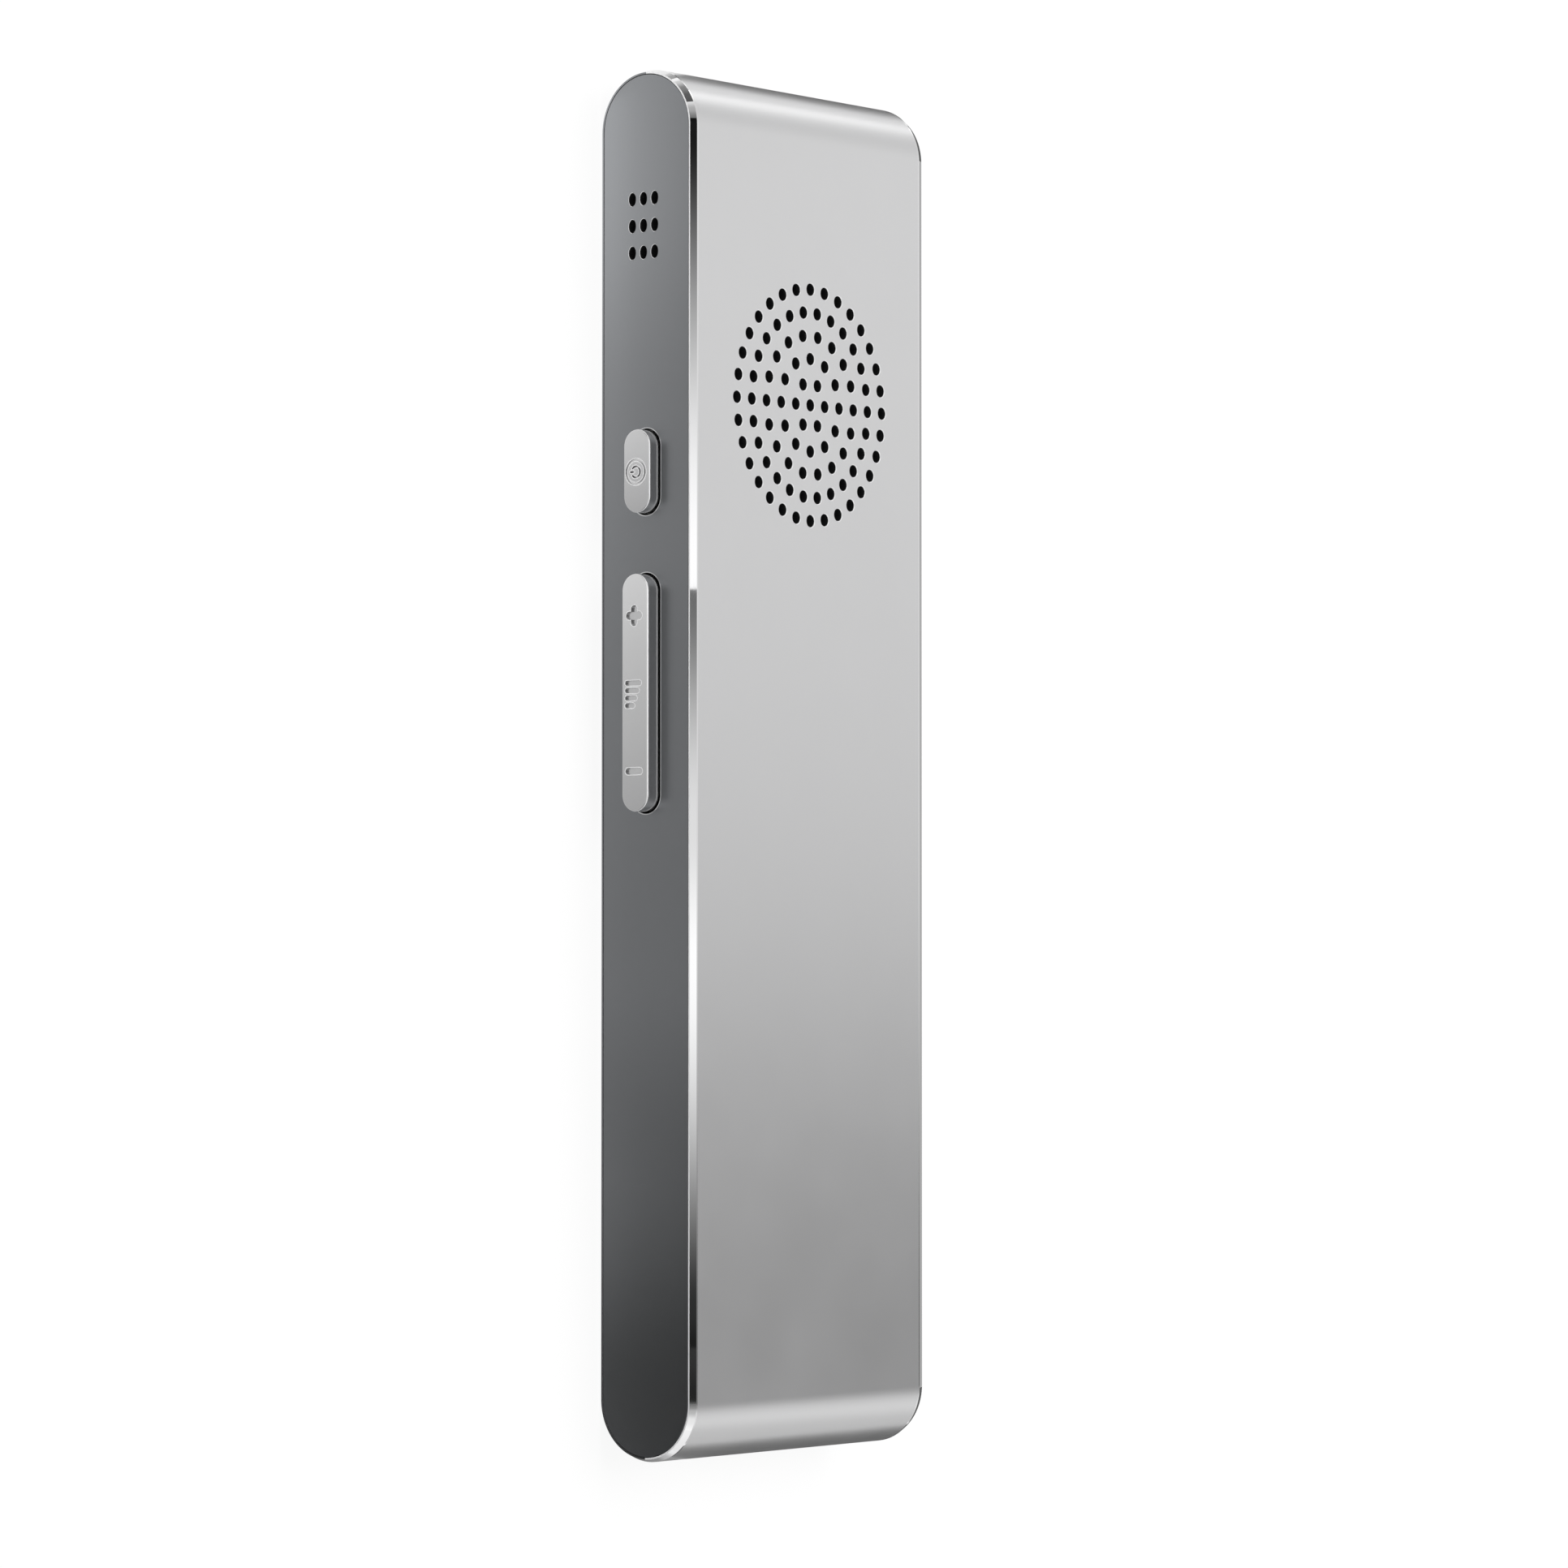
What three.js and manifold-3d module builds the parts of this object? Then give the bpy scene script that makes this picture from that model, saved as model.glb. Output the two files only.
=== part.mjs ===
// Handheld translator: a flat aluminium band with round ends, closed by two dark side plates.
// Millimetres. X crosses the width, from the control side at -X to the charging side at +X.
// Y follows the length, with the loudspeaker end at +Y.
// Z is up: the face with the talk keys lies at z = 0, and the loudspeaker grille is on top.
import * as THREE from 'three';
import { mergeVertices } from 'three/addons/utils/BufferGeometryUtils.js';
import Module from 'manifold-3d';

const wasm = await Module();
wasm.setup();

// Clearances shared by many pieces
const fitGap = 0.3;
const contactGap = 0.05;
const cutOverrun = 1;

// Body band
const bodyLength = 142;
const bodyWidth = 38.6;
const bodyThickness = 12.3;
const bodyWall = 1.2;
const chamferWidth = 0.76;
const chamferInset = 0.3;
const landWidth = 0.14;

// Side plates and the adhesive rings behind them
const plateThickness = 1;
const plateSink = 0.05;
const plateGap = 0.12;
const sealThickness = 0.2;

// Loudspeaker grille: rings of round holes about one centre hole.
// A setback is measured along Y from the loudspeaker end.
const grilleSetback = 33.4;
const grilleRingPitch = 2.41;
const grilleHoleDiameter = 1.3;
const grilleRings = 5;

// Loudspeaker
const speakerMeshThickness = 0.15;
const gasketWidth = 0.8;
const gasketThickness = 0.6;
const speakerFlangeThickness = 1;
const speakerFlangeWidth = 1.6;
const basketWall = 0.7;
const surroundStep = 0.5;
const coneThickness = 0.25;
const coneDepth = 1.2;
const magnetDiameter = 14;
const magnetHeight = 2;

// Microphone holes and the microphone behind them
const micToCarrierEnd = 1.75;
const micBelowMiddle = 0.4;
const micPitchAlong = 2.75;
const micPitchAcross = 1.48;
const micHoleLength = 1.4;
const micHoleWidth = 1;
const micRows = 3;
const micMeshThickness = 0.15;
const micBootRim = 0.8;
const micBootFloor = 0.4;
const micPortDiameter = 1.2;
const micCapsuleLength = 3.5;
const micCapsuleWidth = 2.6;
const micCapsuleDepth = 1;

// Side keys: the power key and the volume rocker
const sideKeyWidth = 3.4;
const sideKeyClearance = 0.2;
const sideKeyEdge = 0.08;
const powerKeyLength = 8.5;
const powerKeyToMic = 16.75;
const powerKeyProud = 1.5;
const powerFlangeGap = 0.1;
const rockerLength = 24.2;
const sideKeySpacing = 6.25;
const rockerProud = 1.75;
const rockerFlangeGap = 0.45;
const rockerArm = 9;
const keyFlangeLip = 0.8;
const keyFlangeThickness = 0.5;
const keyNubDiameter = 1.6;
const rockerNubLength = 0.25;
const fulcrumWidth = 1.2;
const fulcrumHeight = 1.8;

// Talk keys on the front face
const talkKeyDiameter = 13.6;
const talkKeyClearance = 0.25;
const talkKeyEdge = 0.25;
const talkKeySink = 0.2;
const talkKeySpacing = 6.8;
const talkKeyToGuide = 3.85;
const talkFlangeGap = 0.1;

// Push switches
const plungerDiameter = 1.4;
const plungerClearance = 0.15;
const plungerProud = 0.4;
const sideSwitchDepth = 1.2;
const talkSwitchDepth = 0.8;
const switchLength = 3.4;
const switchWidth = 2.6;
const wellDepthShare = 0.8;

// Strip circuit and bracket behind the side keys
const flexThickness = 0.15;
const flexHeight = 3.4;
const bracketThickness = 0.4;
const bracketHeight = 3.6;
const bracketEndMargin = 1.2;

// Charging socket
const socketSetback = 59;
const socketWidth = 8.94;
const socketHeight = 3.16;
const socketCorner = 1.4;
const socketWall = 0.3;
const socketLength = 7.3;
const socketSink = 0.3;
const socketGap = 0.13;
const tongueThickness = 0.7;
const tongueMargin = 0.8;
const tongueSetback = 1;
const tongueBaseLength = 1.6;

// Main board and the parts soldered to it
const boardThickness = 0.8;
const boardEndSetback = 5;
const boardCorner = 2;
const canLength = 20;
const canWidth = 24;
const canHeight = 1.5;
const canWall = 0.2;
const canOffset = 1.5;
const processorSize = 10;
const processorHeight = 0.9;
const memorySize = 8;
const memoryHeight = 0.8;
const chipSpacing = 1.2;
const radioLength = 14;
const radioWidth = 12;
const radioHeight = 1.4;
const radioSetback = 25;
const amplifierSize = 4;
const amplifierHeight = 0.7;
const ledWidth = 1.6;
const ledLength = 0.9;
const ledHeight = 0.6;
const ledSetback = 47;
const guideDiameter = 1.5;
const guideClearance = 0.15;
const guideCollarWidth = 0.8;
const guideCollarThickness = 0.5;
const guideSink = 0.05;

// Inner carrier
const carrierWall = 1;
const carrierRoof = 1;
const carrierEndLength = 10;
const socketToRib = 12;
const antennaThickness = 0.15;
const antennaHeight = 3.2;
const antennaToRib = 14;
const antennaToEnd = 25;

// Board screws
const screwHeadDiameter = 3;
const screwHeadHeight = 0.7;
const screwShankDiameter = 1.4;
const screwGrip = 3;
const screwSpread = 11;
const screwSetback = 2.5;
const screwBossWall = 2;

// Battery and its leads
const batteryPadThickness = 0.6;
const batterySwellRoom = 0.8;
const batteryCorner = 1.5;
const batteryEdge = 0.7;
const batteryBoardThickness = 1;
const batteryBoardWidth = 18;
const batteryBoardHeight = 2.8;
const leadDiameter = 0.9;
const leadSpacing = 2.4;
const leadNotchMargin = 0.6;
const connectorWidth = 6;
const connectorLength = 3;
const connectorHeight = 1.6;
const connectorSetback = 4;
const speakerLeadSpread = 3;
const speakerLeadReach = 1.2;
const speakerLeadHeight = 2.2;

// Facet counts
const endArcSteps = 12;
const keyArcSteps = 6;
const cornerArcSteps = 2;
const holeSides = 12;
const roundSides = 28;
const wireSides = 8;
const wireSteps = 8;

// Colours and finishes
const satinAluminium = { color: 0xc6c8ca, roughness: 0.38, metalness: 0.9 };
const keyAluminium = { color: 0xbcbec0, roughness: 0.3, metalness: 0.9 };
const graphitePlastic = { color: 0x55575b, roughness: 0.45, metalness: 0.3 };
const blackPlastic = { color: 0x1d1e20, roughness: 0.6, metalness: 0 };
const blackRubber = { color: 0x141415, roughness: 0.85, metalness: 0 };
const whitePlastic = { color: 0xe4e4e0, roughness: 0.5, metalness: 0 };
const clearPlastic = { color: 0xdfe6ea, roughness: 0.15, metalness: 0 };
const greenBoard = { color: 0x1f5a3a, roughness: 0.5, metalness: 0 };
const amberFilm = { color: 0xa8661f, roughness: 0.4, metalness: 0 };
const steel = { color: 0x9a9c9f, roughness: 0.35, metalness: 1 };
const chipResin = { color: 0x232427, roughness: 0.5, metalness: 0 };
const batteryFoil = { color: 0xb4b6ba, roughness: 0.45, metalness: 0.7 };
const redWire = { color: 0xa5231c, roughness: 0.5, metalness: 0 };
const blackWire = { color: 0x18181a, roughness: 0.5, metalness: 0 };
const conePaper = { color: 0x2b2a29, roughness: 0.8, metalness: 0 };

// Planes of the band and its inner space
const halfLength = bodyLength / 2;
const halfWidth = bodyWidth / 2;
const midZ = bodyThickness / 2;
const innerTopZ = bodyThickness - bodyWall;
const rebateInset = chamferInset + landWidth;
const plateInset = rebateInset + plateGap;
const plateOuterX = halfWidth - plateSink;
const plateInnerX = plateOuterX - plateThickness;
const ledgeX = plateInnerX - sealThickness;

// Places on the control side, from the loudspeaker end down
const carrierEndY = halfLength - carrierEndLength;
const micZ = midZ - micBelowMiddle;
const micBootLength = (micRows - 1) * micPitchAlong + micHoleLength + 2 * micBootRim;
const micBootWidth = (micRows - 1) * micPitchAcross + micHoleWidth + 2 * micBootRim;
const micCentreY = carrierEndY - micToCarrierEnd - micBootLength / 2;
const powerKeyCentreY = micCentreY - micBootLength / 2 - powerKeyToMic - powerKeyLength / 2;
const rockerCentreY = powerKeyCentreY - (powerKeyLength + rockerLength) / 2 - sideKeySpacing;

// Places of the grille, the light, the talk keys and the socket
const grilleCentreY = halfLength - grilleSetback;
const ledCentreY = halfLength - ledSetback;
const guideReach = guideDiameter / 2 + guideCollarWidth;
const talkFlangeRadius = talkKeyDiameter / 2 + keyFlangeLip;
const talkUpperY = ledCentreY - guideReach - talkKeyToGuide - talkFlangeRadius;
const talkLowerY = talkUpperY - talkKeySpacing - 2 * talkFlangeRadius;
const socketCentreY = halfLength - socketSetback;
const batteryRibY = socketCentreY - socketToRib;

// Stack behind the side keys, as distances from the middle plane towards the control side
const rockerFlangeBackX = plateInnerX - rockerFlangeGap - keyFlangeThickness;
const powerFlangeBackX = plateInnerX - powerFlangeGap - keyFlangeThickness;
const sideContactX = rockerFlangeBackX - rockerNubLength;
const sidePlungerTipX = sideContactX - contactGap;
const sideSwitchFrontX = sidePlungerTipX - plungerProud;
const flexFrontX = sideSwitchFrontX - sideSwitchDepth;
const bracketFrontX = flexFrontX - flexThickness;
const carrierLeftX = bracketFrontX - bracketThickness;
const bayLeftX = carrierLeftX - carrierWall;

// Main board, resting under the charging socket
const boardTopZ = midZ - socketHeight / 2;
const boardBottomZ = boardTopZ - boardThickness;
const carrierRightX = plateInnerX - fitGap;
const bayRightX = carrierRightX - carrierWall;
const boardRightX = carrierRightX - fitGap;
const boardEndY = halfLength - boardEndSetback;
const canCentreY = (talkLowerY - boardEndY) / 2 - canOffset;
const radioCentreY = halfLength - radioSetback;
const screwY = boardEndY - screwSetback;

// Loudspeaker stack, hung under the grille
const grilleRadius = grilleRings * grilleRingPitch + grilleHoleDiameter / 2;
const gasketInnerRadius = grilleRadius + contactGap;
const gasketOuterRadius = gasketInnerRadius + gasketWidth;
const basketRadius = gasketOuterRadius - speakerFlangeWidth;
const speakerMeshZ = innerTopZ - speakerMeshThickness;
const speakerTopZ = speakerMeshZ - gasketThickness;
const carrierTopZ = speakerTopZ - speakerFlangeThickness;
const basketBottomZ = boardTopZ + fitGap;
const basketFloorZ = basketBottomZ + basketWall;
const surroundZ = speakerTopZ - surroundStep;
const surroundRadius = basketRadius;
const speakerRibLowY = grilleCentreY - gasketOuterRadius - fitGap;
const speakerRibHighY = grilleCentreY + gasketOuterRadius + fitGap;

// Talk key stack, from the front wall up to the board
const talkFlangeZ = bodyWall + talkFlangeGap;
const talkFlangeBackZ = talkFlangeZ + keyFlangeThickness;
const talkSwitchFrontZ = boardBottomZ - talkSwitchDepth;
const talkPlungerTipZ = talkSwitchFrontZ - plungerProud;
const talkContactZ = talkPlungerTipZ - contactGap;

// Battery space
const batteryLowX = fitGap - bayLeftX;
const batteryHighX = bayRightX - fitGap;
const batteryMidX = (batteryLowX + batteryHighX) / 2;
const batteryLowY = fitGap - carrierEndY;
const batteryBoardHighY = batteryRibY - fitGap;
const batteryHighY = batteryBoardHighY - batteryBoardThickness;
const batteryBottomZ = boardTopZ + batteryPadThickness;
const batteryTopZ = innerTopZ - batterySwellRoom;
const batteryMidZ = (batteryBottomZ + batteryTopZ) / 2;
const connectorLowY = batteryRibY + carrierWall + connectorSetback;

const translator = new THREE.Group();

// Outline in the YZ plane is turned so that its depth runs along X.
const depthAlongX = new THREE.Matrix4().makeBasis(
  new THREE.Vector3(0, 1, 0),
  new THREE.Vector3(0, 0, 1),
  new THREE.Vector3(1, 0, 0),
);

// Turns a three.js geometry into a closed solid.
function solidOf(geometry) {
  geometry.deleteAttribute('normal');
  geometry.deleteAttribute('uv');
  const merged = mergeVertices(geometry);
  const mesh = new wasm.Mesh({
    numProp: 3,
    vertProperties: merged.attributes.position.array,
    triVerts: new Uint32Array(merged.index.array),
  });
  return new wasm.Manifold(mesh);
}

// Turns a solid back into a geometry with flat faces.
function geometryOf(solid) {
  const mesh = solid.getMesh();
  const indexed = new THREE.BufferGeometry();
  indexed.setAttribute('position', new THREE.BufferAttribute(mesh.vertProperties, 3));
  indexed.setIndex(new THREE.BufferAttribute(mesh.triVerts, 1));
  const flat = indexed.toNonIndexed();
  flat.computeVertexNormals();
  return flat;
}

// Adds one named piece with a material of its own.
function addPiece(name, solid, finish, x = 0, y = 0, z = 0) {
  const piece = new THREE.Mesh(geometryOf(solid), new THREE.MeshStandardMaterial(finish));
  piece.name = name;
  piece.position.set(x, y, z);
  translator.add(piece);
}

function join(solids) {
  return solids.reduce((whole, next) => whole.add(next));
}

function cut(solid, tools) {
  return tools.reduce((rest, tool) => rest.subtract(tool), solid);
}

// Outline with straight long sides and half-round ends, along the first axis.
function roundEndedOutline(length, width, centreU, centreV) {
  const radius = width / 2;
  const reach = length / 2 - radius;
  const outline = new THREE.Shape();
  outline.absarc(centreU + reach, centreV, radius, -Math.PI / 2, Math.PI / 2);
  outline.absarc(centreU - reach, centreV, radius, Math.PI / 2, 1.5 * Math.PI);
  outline.closePath();
  return outline;
}

// The band's own outline, drawn smaller by an inset.
function bandOutline(inset) {
  return roundEndedOutline(bodyLength - 2 * inset, bodyThickness - 2 * inset, 0, midZ);
}

function roundedOutline(sizeU, sizeV, radius, centreU, centreV) {
  const reachU = sizeU / 2 - radius;
  const reachV = sizeV / 2 - radius;
  const outline = new THREE.Shape();
  outline.absarc(centreU + reachU, centreV - reachV, radius, -Math.PI / 2, 0);
  outline.absarc(centreU + reachU, centreV + reachV, radius, 0, Math.PI / 2);
  outline.absarc(centreU - reachU, centreV + reachV, radius, Math.PI / 2, Math.PI);
  outline.absarc(centreU - reachU, centreV - reachV, radius, Math.PI, 1.5 * Math.PI);
  outline.closePath();
  return outline;
}

// Extrudes an outline of the YZ plane between two places along X.
function extrudeX(outline, lowX, highX, curveSegments) {
  const geometry = new THREE.ExtrudeGeometry(outline, {
    depth: highX - lowX,
    bevelEnabled: false,
    curveSegments,
  });
  geometry.applyMatrix4(depthAlongX);
  geometry.translate(lowX, 0, 0);
  return solidOf(geometry);
}

// The same with both end edges taken off.
function extrudeXWithEdges(outline, lowX, highX, curveSegments, edgeDepth, edgeInset, edgeSteps) {
  const geometry = new THREE.ExtrudeGeometry(outline, {
    depth: highX - lowX - 2 * edgeDepth,
    bevelThickness: edgeDepth,
    bevelSize: edgeInset,
    bevelOffset: -edgeInset,
    bevelSegments: edgeSteps,
    curveSegments,
  });
  geometry.applyMatrix4(depthAlongX);
  geometry.translate(lowX + edgeDepth, 0, 0);
  return solidOf(geometry);
}

function extrudeZ(outline, lowZ, highZ, curveSegments) {
  const geometry = new THREE.ExtrudeGeometry(outline, {
    depth: highZ - lowZ,
    bevelEnabled: false,
    curveSegments,
  });
  geometry.translate(0, 0, lowZ);
  return solidOf(geometry);
}

function block(lowX, highX, lowY, highY, lowZ, highZ) {
  const geometry = new THREE.BoxGeometry(highX - lowX, highY - lowY, highZ - lowZ);
  geometry.translate((lowX + highX) / 2, (lowY + highY) / 2, (lowZ + highZ) / 2);
  return solidOf(geometry);
}

// Block that stands on a plane of Z, about a centre in X and Y.
function chip(sizeX, sizeY, lowZ, highZ, centreX, centreY) {
  const reachX = sizeX / 2;
  const reachY = sizeY / 2;
  return block(centreX - reachX, centreX + reachX, centreY - reachY, centreY + reachY, lowZ, highZ);
}

function rodZ(diameter, lowZ, highZ, centreX, centreY, sides) {
  const geometry = new THREE.CylinderGeometry(diameter / 2, diameter / 2, highZ - lowZ, sides);
  geometry.rotateX(Math.PI / 2);
  geometry.translate(centreX, centreY, (lowZ + highZ) / 2);
  return solidOf(geometry);
}

function rodX(diameter, lowX, highX, centreY, centreZ, sides) {
  const geometry = new THREE.CylinderGeometry(diameter / 2, diameter / 2, highX - lowX, sides);
  geometry.rotateZ(Math.PI / 2);
  geometry.translate((lowX + highX) / 2, centreY, centreZ);
  return solidOf(geometry);
}

// Revolves a profile of (radius, height) points about the loudspeaker's axis.
function turnedOnSpeakerAxis(profile) {
  const points = profile.map(([radius, height]) => new THREE.Vector2(radius, height));
  const geometry = new THREE.LatheGeometry(points, roundSides);
  geometry.rotateX(Math.PI / 2);
  geometry.translate(0, grilleCentreY, 0);
  return solidOf(geometry);
}

// Round wire along a smooth curve through a few points.
function wire(points) {
  const section = new THREE.Shape();
  section.absarc(0, 0, leadDiameter / 2, 0, 2 * Math.PI);
  const geometry = new THREE.ExtrudeGeometry(section, {
    steps: wireSteps,
    curveSegments: wireSides / 2,
    extrudePath: new THREE.CatmullRomCurve3(points),
  });
  return solidOf(geometry);
}

// One hole at the centre, then rings whose hole count is the even number nearest to an even spread.
function grilleHoles() {
  const holes = [];
  for (let ring = 0; ring <= grilleRings; ring += 1) {
    const count = Math.max(1, 2 * Math.round(Math.PI * ring));
    for (let index = 0; index < count; index += 1) {
      const angle = (2 * Math.PI * index) / count;
      const x = ring * grilleRingPitch * Math.cos(angle);
      const y = grilleCentreY + ring * grilleRingPitch * Math.sin(angle);
      const lowZ = innerTopZ - cutOverrun;
      holes.push(rodZ(grilleHoleDiameter, lowZ, bodyThickness + cutOverrun, x, y, holeSides));
    }
  }
  return join(holes);
}

function frontHole(diameter, y, sides) {
  return rodZ(diameter, -cutOverrun, bodyWall + cutOverrun, 0, y, sides);
}

function addBodyBand() {
  const outside = extrudeXWithEdges(
    bandOutline(0), -halfWidth, halfWidth, endArcSteps, chamferWidth, chamferInset, 1,
  );
  const inside = extrudeX(bandOutline(bodyWall), -halfWidth - cutOverrun, halfWidth + cutOverrun, endArcSteps);
  const rebates = [
    extrudeX(bandOutline(rebateInset), -halfWidth - cutOverrun, -ledgeX, endArcSteps),
    extrudeX(bandOutline(rebateInset), ledgeX, halfWidth + cutOverrun, endArcSteps),
  ];
  const talkHole = talkKeyDiameter + 2 * talkKeyClearance;
  const frontHoles = [
    frontHole(talkHole, talkUpperY, roundSides),
    frontHole(talkHole, talkLowerY, roundSides),
    frontHole(guideDiameter + 2 * guideClearance, ledCentreY, holeSides),
  ];
  addPiece('body_band', cut(outside, [inside, ...rebates, ...frontHoles, grilleHoles()]), satinAluminium);
}

// Short slots with round ends, in a square of rows and columns.
function micHoles() {
  const middle = (micRows - 1) / 2;
  const holes = [];
  for (let row = 0; row < micRows; row += 1) {
    for (let column = 0; column < micRows; column += 1) {
      const y = micCentreY + (row - middle) * micPitchAlong;
      const z = micZ + (column - middle) * micPitchAcross;
      const outline = roundEndedOutline(micHoleLength, micHoleWidth, y, z);
      const arcSteps = keyArcSteps - cornerArcSteps;
      holes.push(extrudeX(outline, -plateOuterX - cutOverrun, -plateInnerX + cutOverrun, arcSteps));
    }
  }
  return holes;
}

function keySlot(keyLength, centreY) {
  const length = keyLength + 2 * sideKeyClearance;
  const width = sideKeyWidth + 2 * sideKeyClearance;
  const outline = roundEndedOutline(length, width, centreY, midZ);
  return extrudeX(outline, -plateOuterX - cutOverrun, -plateInnerX + cutOverrun, keyArcSteps);
}

function addSidePlates() {
  const left = extrudeX(bandOutline(plateInset), -plateOuterX, -plateInnerX, endArcSteps);
  const slots = [keySlot(powerKeyLength, powerKeyCentreY), keySlot(rockerLength, rockerCentreY)];
  addPiece('control_side_plate', cut(left, [...slots, ...micHoles()]), graphitePlastic);

  const right = extrudeX(bandOutline(plateInset), plateInnerX, plateOuterX, endArcSteps);
  const portOutline = roundedOutline(
    socketWidth + 2 * socketGap, socketHeight + 2 * socketGap, socketCorner + socketGap, socketCentreY, midZ,
  );
  const port = extrudeX(portOutline, plateInnerX - cutOverrun, plateOuterX + cutOverrun, keyArcSteps);
  addPiece('charging_side_plate', cut(right, [port]), graphitePlastic);
}

function addPlateSeals() {
  const outline = bandOutline(plateInset);
  const opening = extrudeX(bandOutline(bodyWall), -halfWidth, halfWidth, endArcSteps / 2);
  const left = extrudeX(outline, -plateInnerX, -ledgeX, endArcSteps / 2);
  const right = extrudeX(outline, ledgeX, plateInnerX, endArcSteps / 2);
  addPiece('control_plate_seal', cut(left, [opening]), blackRubber);
  addPiece('charging_plate_seal', cut(right, [opening]), blackRubber);
}

// The cap of a side key with its retaining flange.
function sideKey(keyLength, centreY, faceX, flangeBackX) {
  const cap = extrudeXWithEdges(
    roundEndedOutline(keyLength, sideKeyWidth, centreY, midZ),
    -faceX, -flangeBackX, keyArcSteps, sideKeyEdge, sideKeyEdge, 1,
  );
  const flangeOutline = roundEndedOutline(
    keyLength + 2 * keyFlangeLip, sideKeyWidth + 2 * keyFlangeLip, centreY, midZ,
  );
  const flange = extrudeX(flangeOutline, -flangeBackX - keyFlangeThickness, -flangeBackX, keyArcSteps);
  return join([cap, flange]);
}

function sideNub(flangeBackX, y) {
  return rodX(keyNubDiameter, -flangeBackX - keyFlangeThickness, -sideContactX, y, midZ, holeSides);
}

function addPowerKey() {
  const key = sideKey(powerKeyLength, powerKeyCentreY, plateOuterX + powerKeyProud, powerFlangeBackX);
  addPiece('power_key', join([key, sideNub(powerFlangeBackX, powerKeyCentreY)]), keyAluminium);
}

function addVolumeRocker() {
  const key = sideKey(rockerLength, rockerCentreY, plateOuterX + rockerProud, rockerFlangeBackX);
  const nubs = [
    sideNub(rockerFlangeBackX, rockerCentreY - rockerArm),
    sideNub(rockerFlangeBackX, rockerCentreY + rockerArm),
  ];
  addPiece('volume_rocker', join([key, ...nubs]), keyAluminium);
}

// Switch housing about its own centre line, with a well for the plunger; it opens towards -Z.
function switchHousing(depth) {
  const body = chip(switchWidth, switchLength, 0, depth, 0, 0);
  const wellDiameter = plungerDiameter + 2 * plungerClearance;
  const well = rodZ(wellDiameter, -cutOverrun, depth * wellDepthShare, 0, 0, holeSides);
  return cut(body, [well]);
}

function switchPlunger(depth) {
  const inside = depth * wellDepthShare - plungerProud - contactGap;
  return rodZ(plungerDiameter, -plungerProud, inside, 0, 0, holeSides);
}

// Turns a switch piece from facing -Z to facing -X.
function facingLeft(solid) {
  const geometry = geometryOf(solid);
  geometry.rotateY(Math.PI / 2);
  return solidOf(geometry);
}

function addSideSwitches() {
  const places = {
    power: powerKeyCentreY,
    volume_up: rockerCentreY + rockerArm,
    volume_down: rockerCentreY - rockerArm,
  };
  const housing = facingLeft(switchHousing(sideSwitchDepth));
  const plunger = facingLeft(switchPlunger(sideSwitchDepth));
  for (const [name, y] of Object.entries(places)) {
    addPiece(name + '_switch', housing, blackPlastic, -sideSwitchFrontX, y, midZ);
    addPiece(name + '_plunger', plunger, whitePlastic, -sideSwitchFrontX, y, midZ);
  }
}

function addTalkKeys() {
  const places = { upper: talkUpperY, lower: talkLowerY };
  const housing = switchHousing(talkSwitchDepth);
  const plunger = switchPlunger(talkSwitchDepth);
  const edge = new THREE.ExtrudeGeometry(roundedOutline(
    talkKeyDiameter, talkKeyDiameter, talkKeyDiameter / 2, 0, 0,
  ), {
    depth: talkFlangeBackZ - talkKeySink - 2 * talkKeyEdge,
    bevelThickness: talkKeyEdge,
    bevelSize: talkKeyEdge,
    bevelOffset: -talkKeyEdge,
    bevelSegments: 2,
    curveSegments: keyArcSteps - cornerArcSteps,
  });
  edge.translate(0, 0, talkKeySink + talkKeyEdge);
  const cap = solidOf(edge);
  const flange = rodZ(2 * talkFlangeRadius, talkFlangeZ, talkFlangeBackZ, 0, 0, roundSides);
  const nub = rodZ(keyNubDiameter, talkFlangeZ, talkContactZ, 0, 0, holeSides);
  for (const [name, y] of Object.entries(places)) {
    addPiece('talk_key_' + name, join([cap, flange, nub]), keyAluminium, 0, y, 0);
    addPiece('talk_switch_' + name, housing, blackPlastic, 0, y, talkSwitchFrontZ);
    addPiece('talk_plunger_' + name, plunger, whitePlastic, 0, y, talkSwitchFrontZ);
  }
}

// Strip circuit that carries the side switches and the microphone, standing on the board.
function addKeyFlex() {
  const lowY = rockerCentreY - rockerArm - switchLength;
  const highY = micCentreY + micCapsuleLength;
  const strip = block(-flexFrontX, -bracketFrontX, lowY, highY, boardTopZ, boardTopZ + flexHeight);
  const slotReach = fulcrumWidth / 2 + fitGap;
  const slot = block(
    -flexFrontX - cutOverrun, -bracketFrontX + cutOverrun,
    rockerCentreY - slotReach, rockerCentreY + slotReach,
    midZ - fulcrumHeight / 2 - fitGap, boardTopZ + flexHeight + cutOverrun,
  );
  addPiece('key_flex', cut(strip, [slot]), amberFilm);
}

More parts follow.
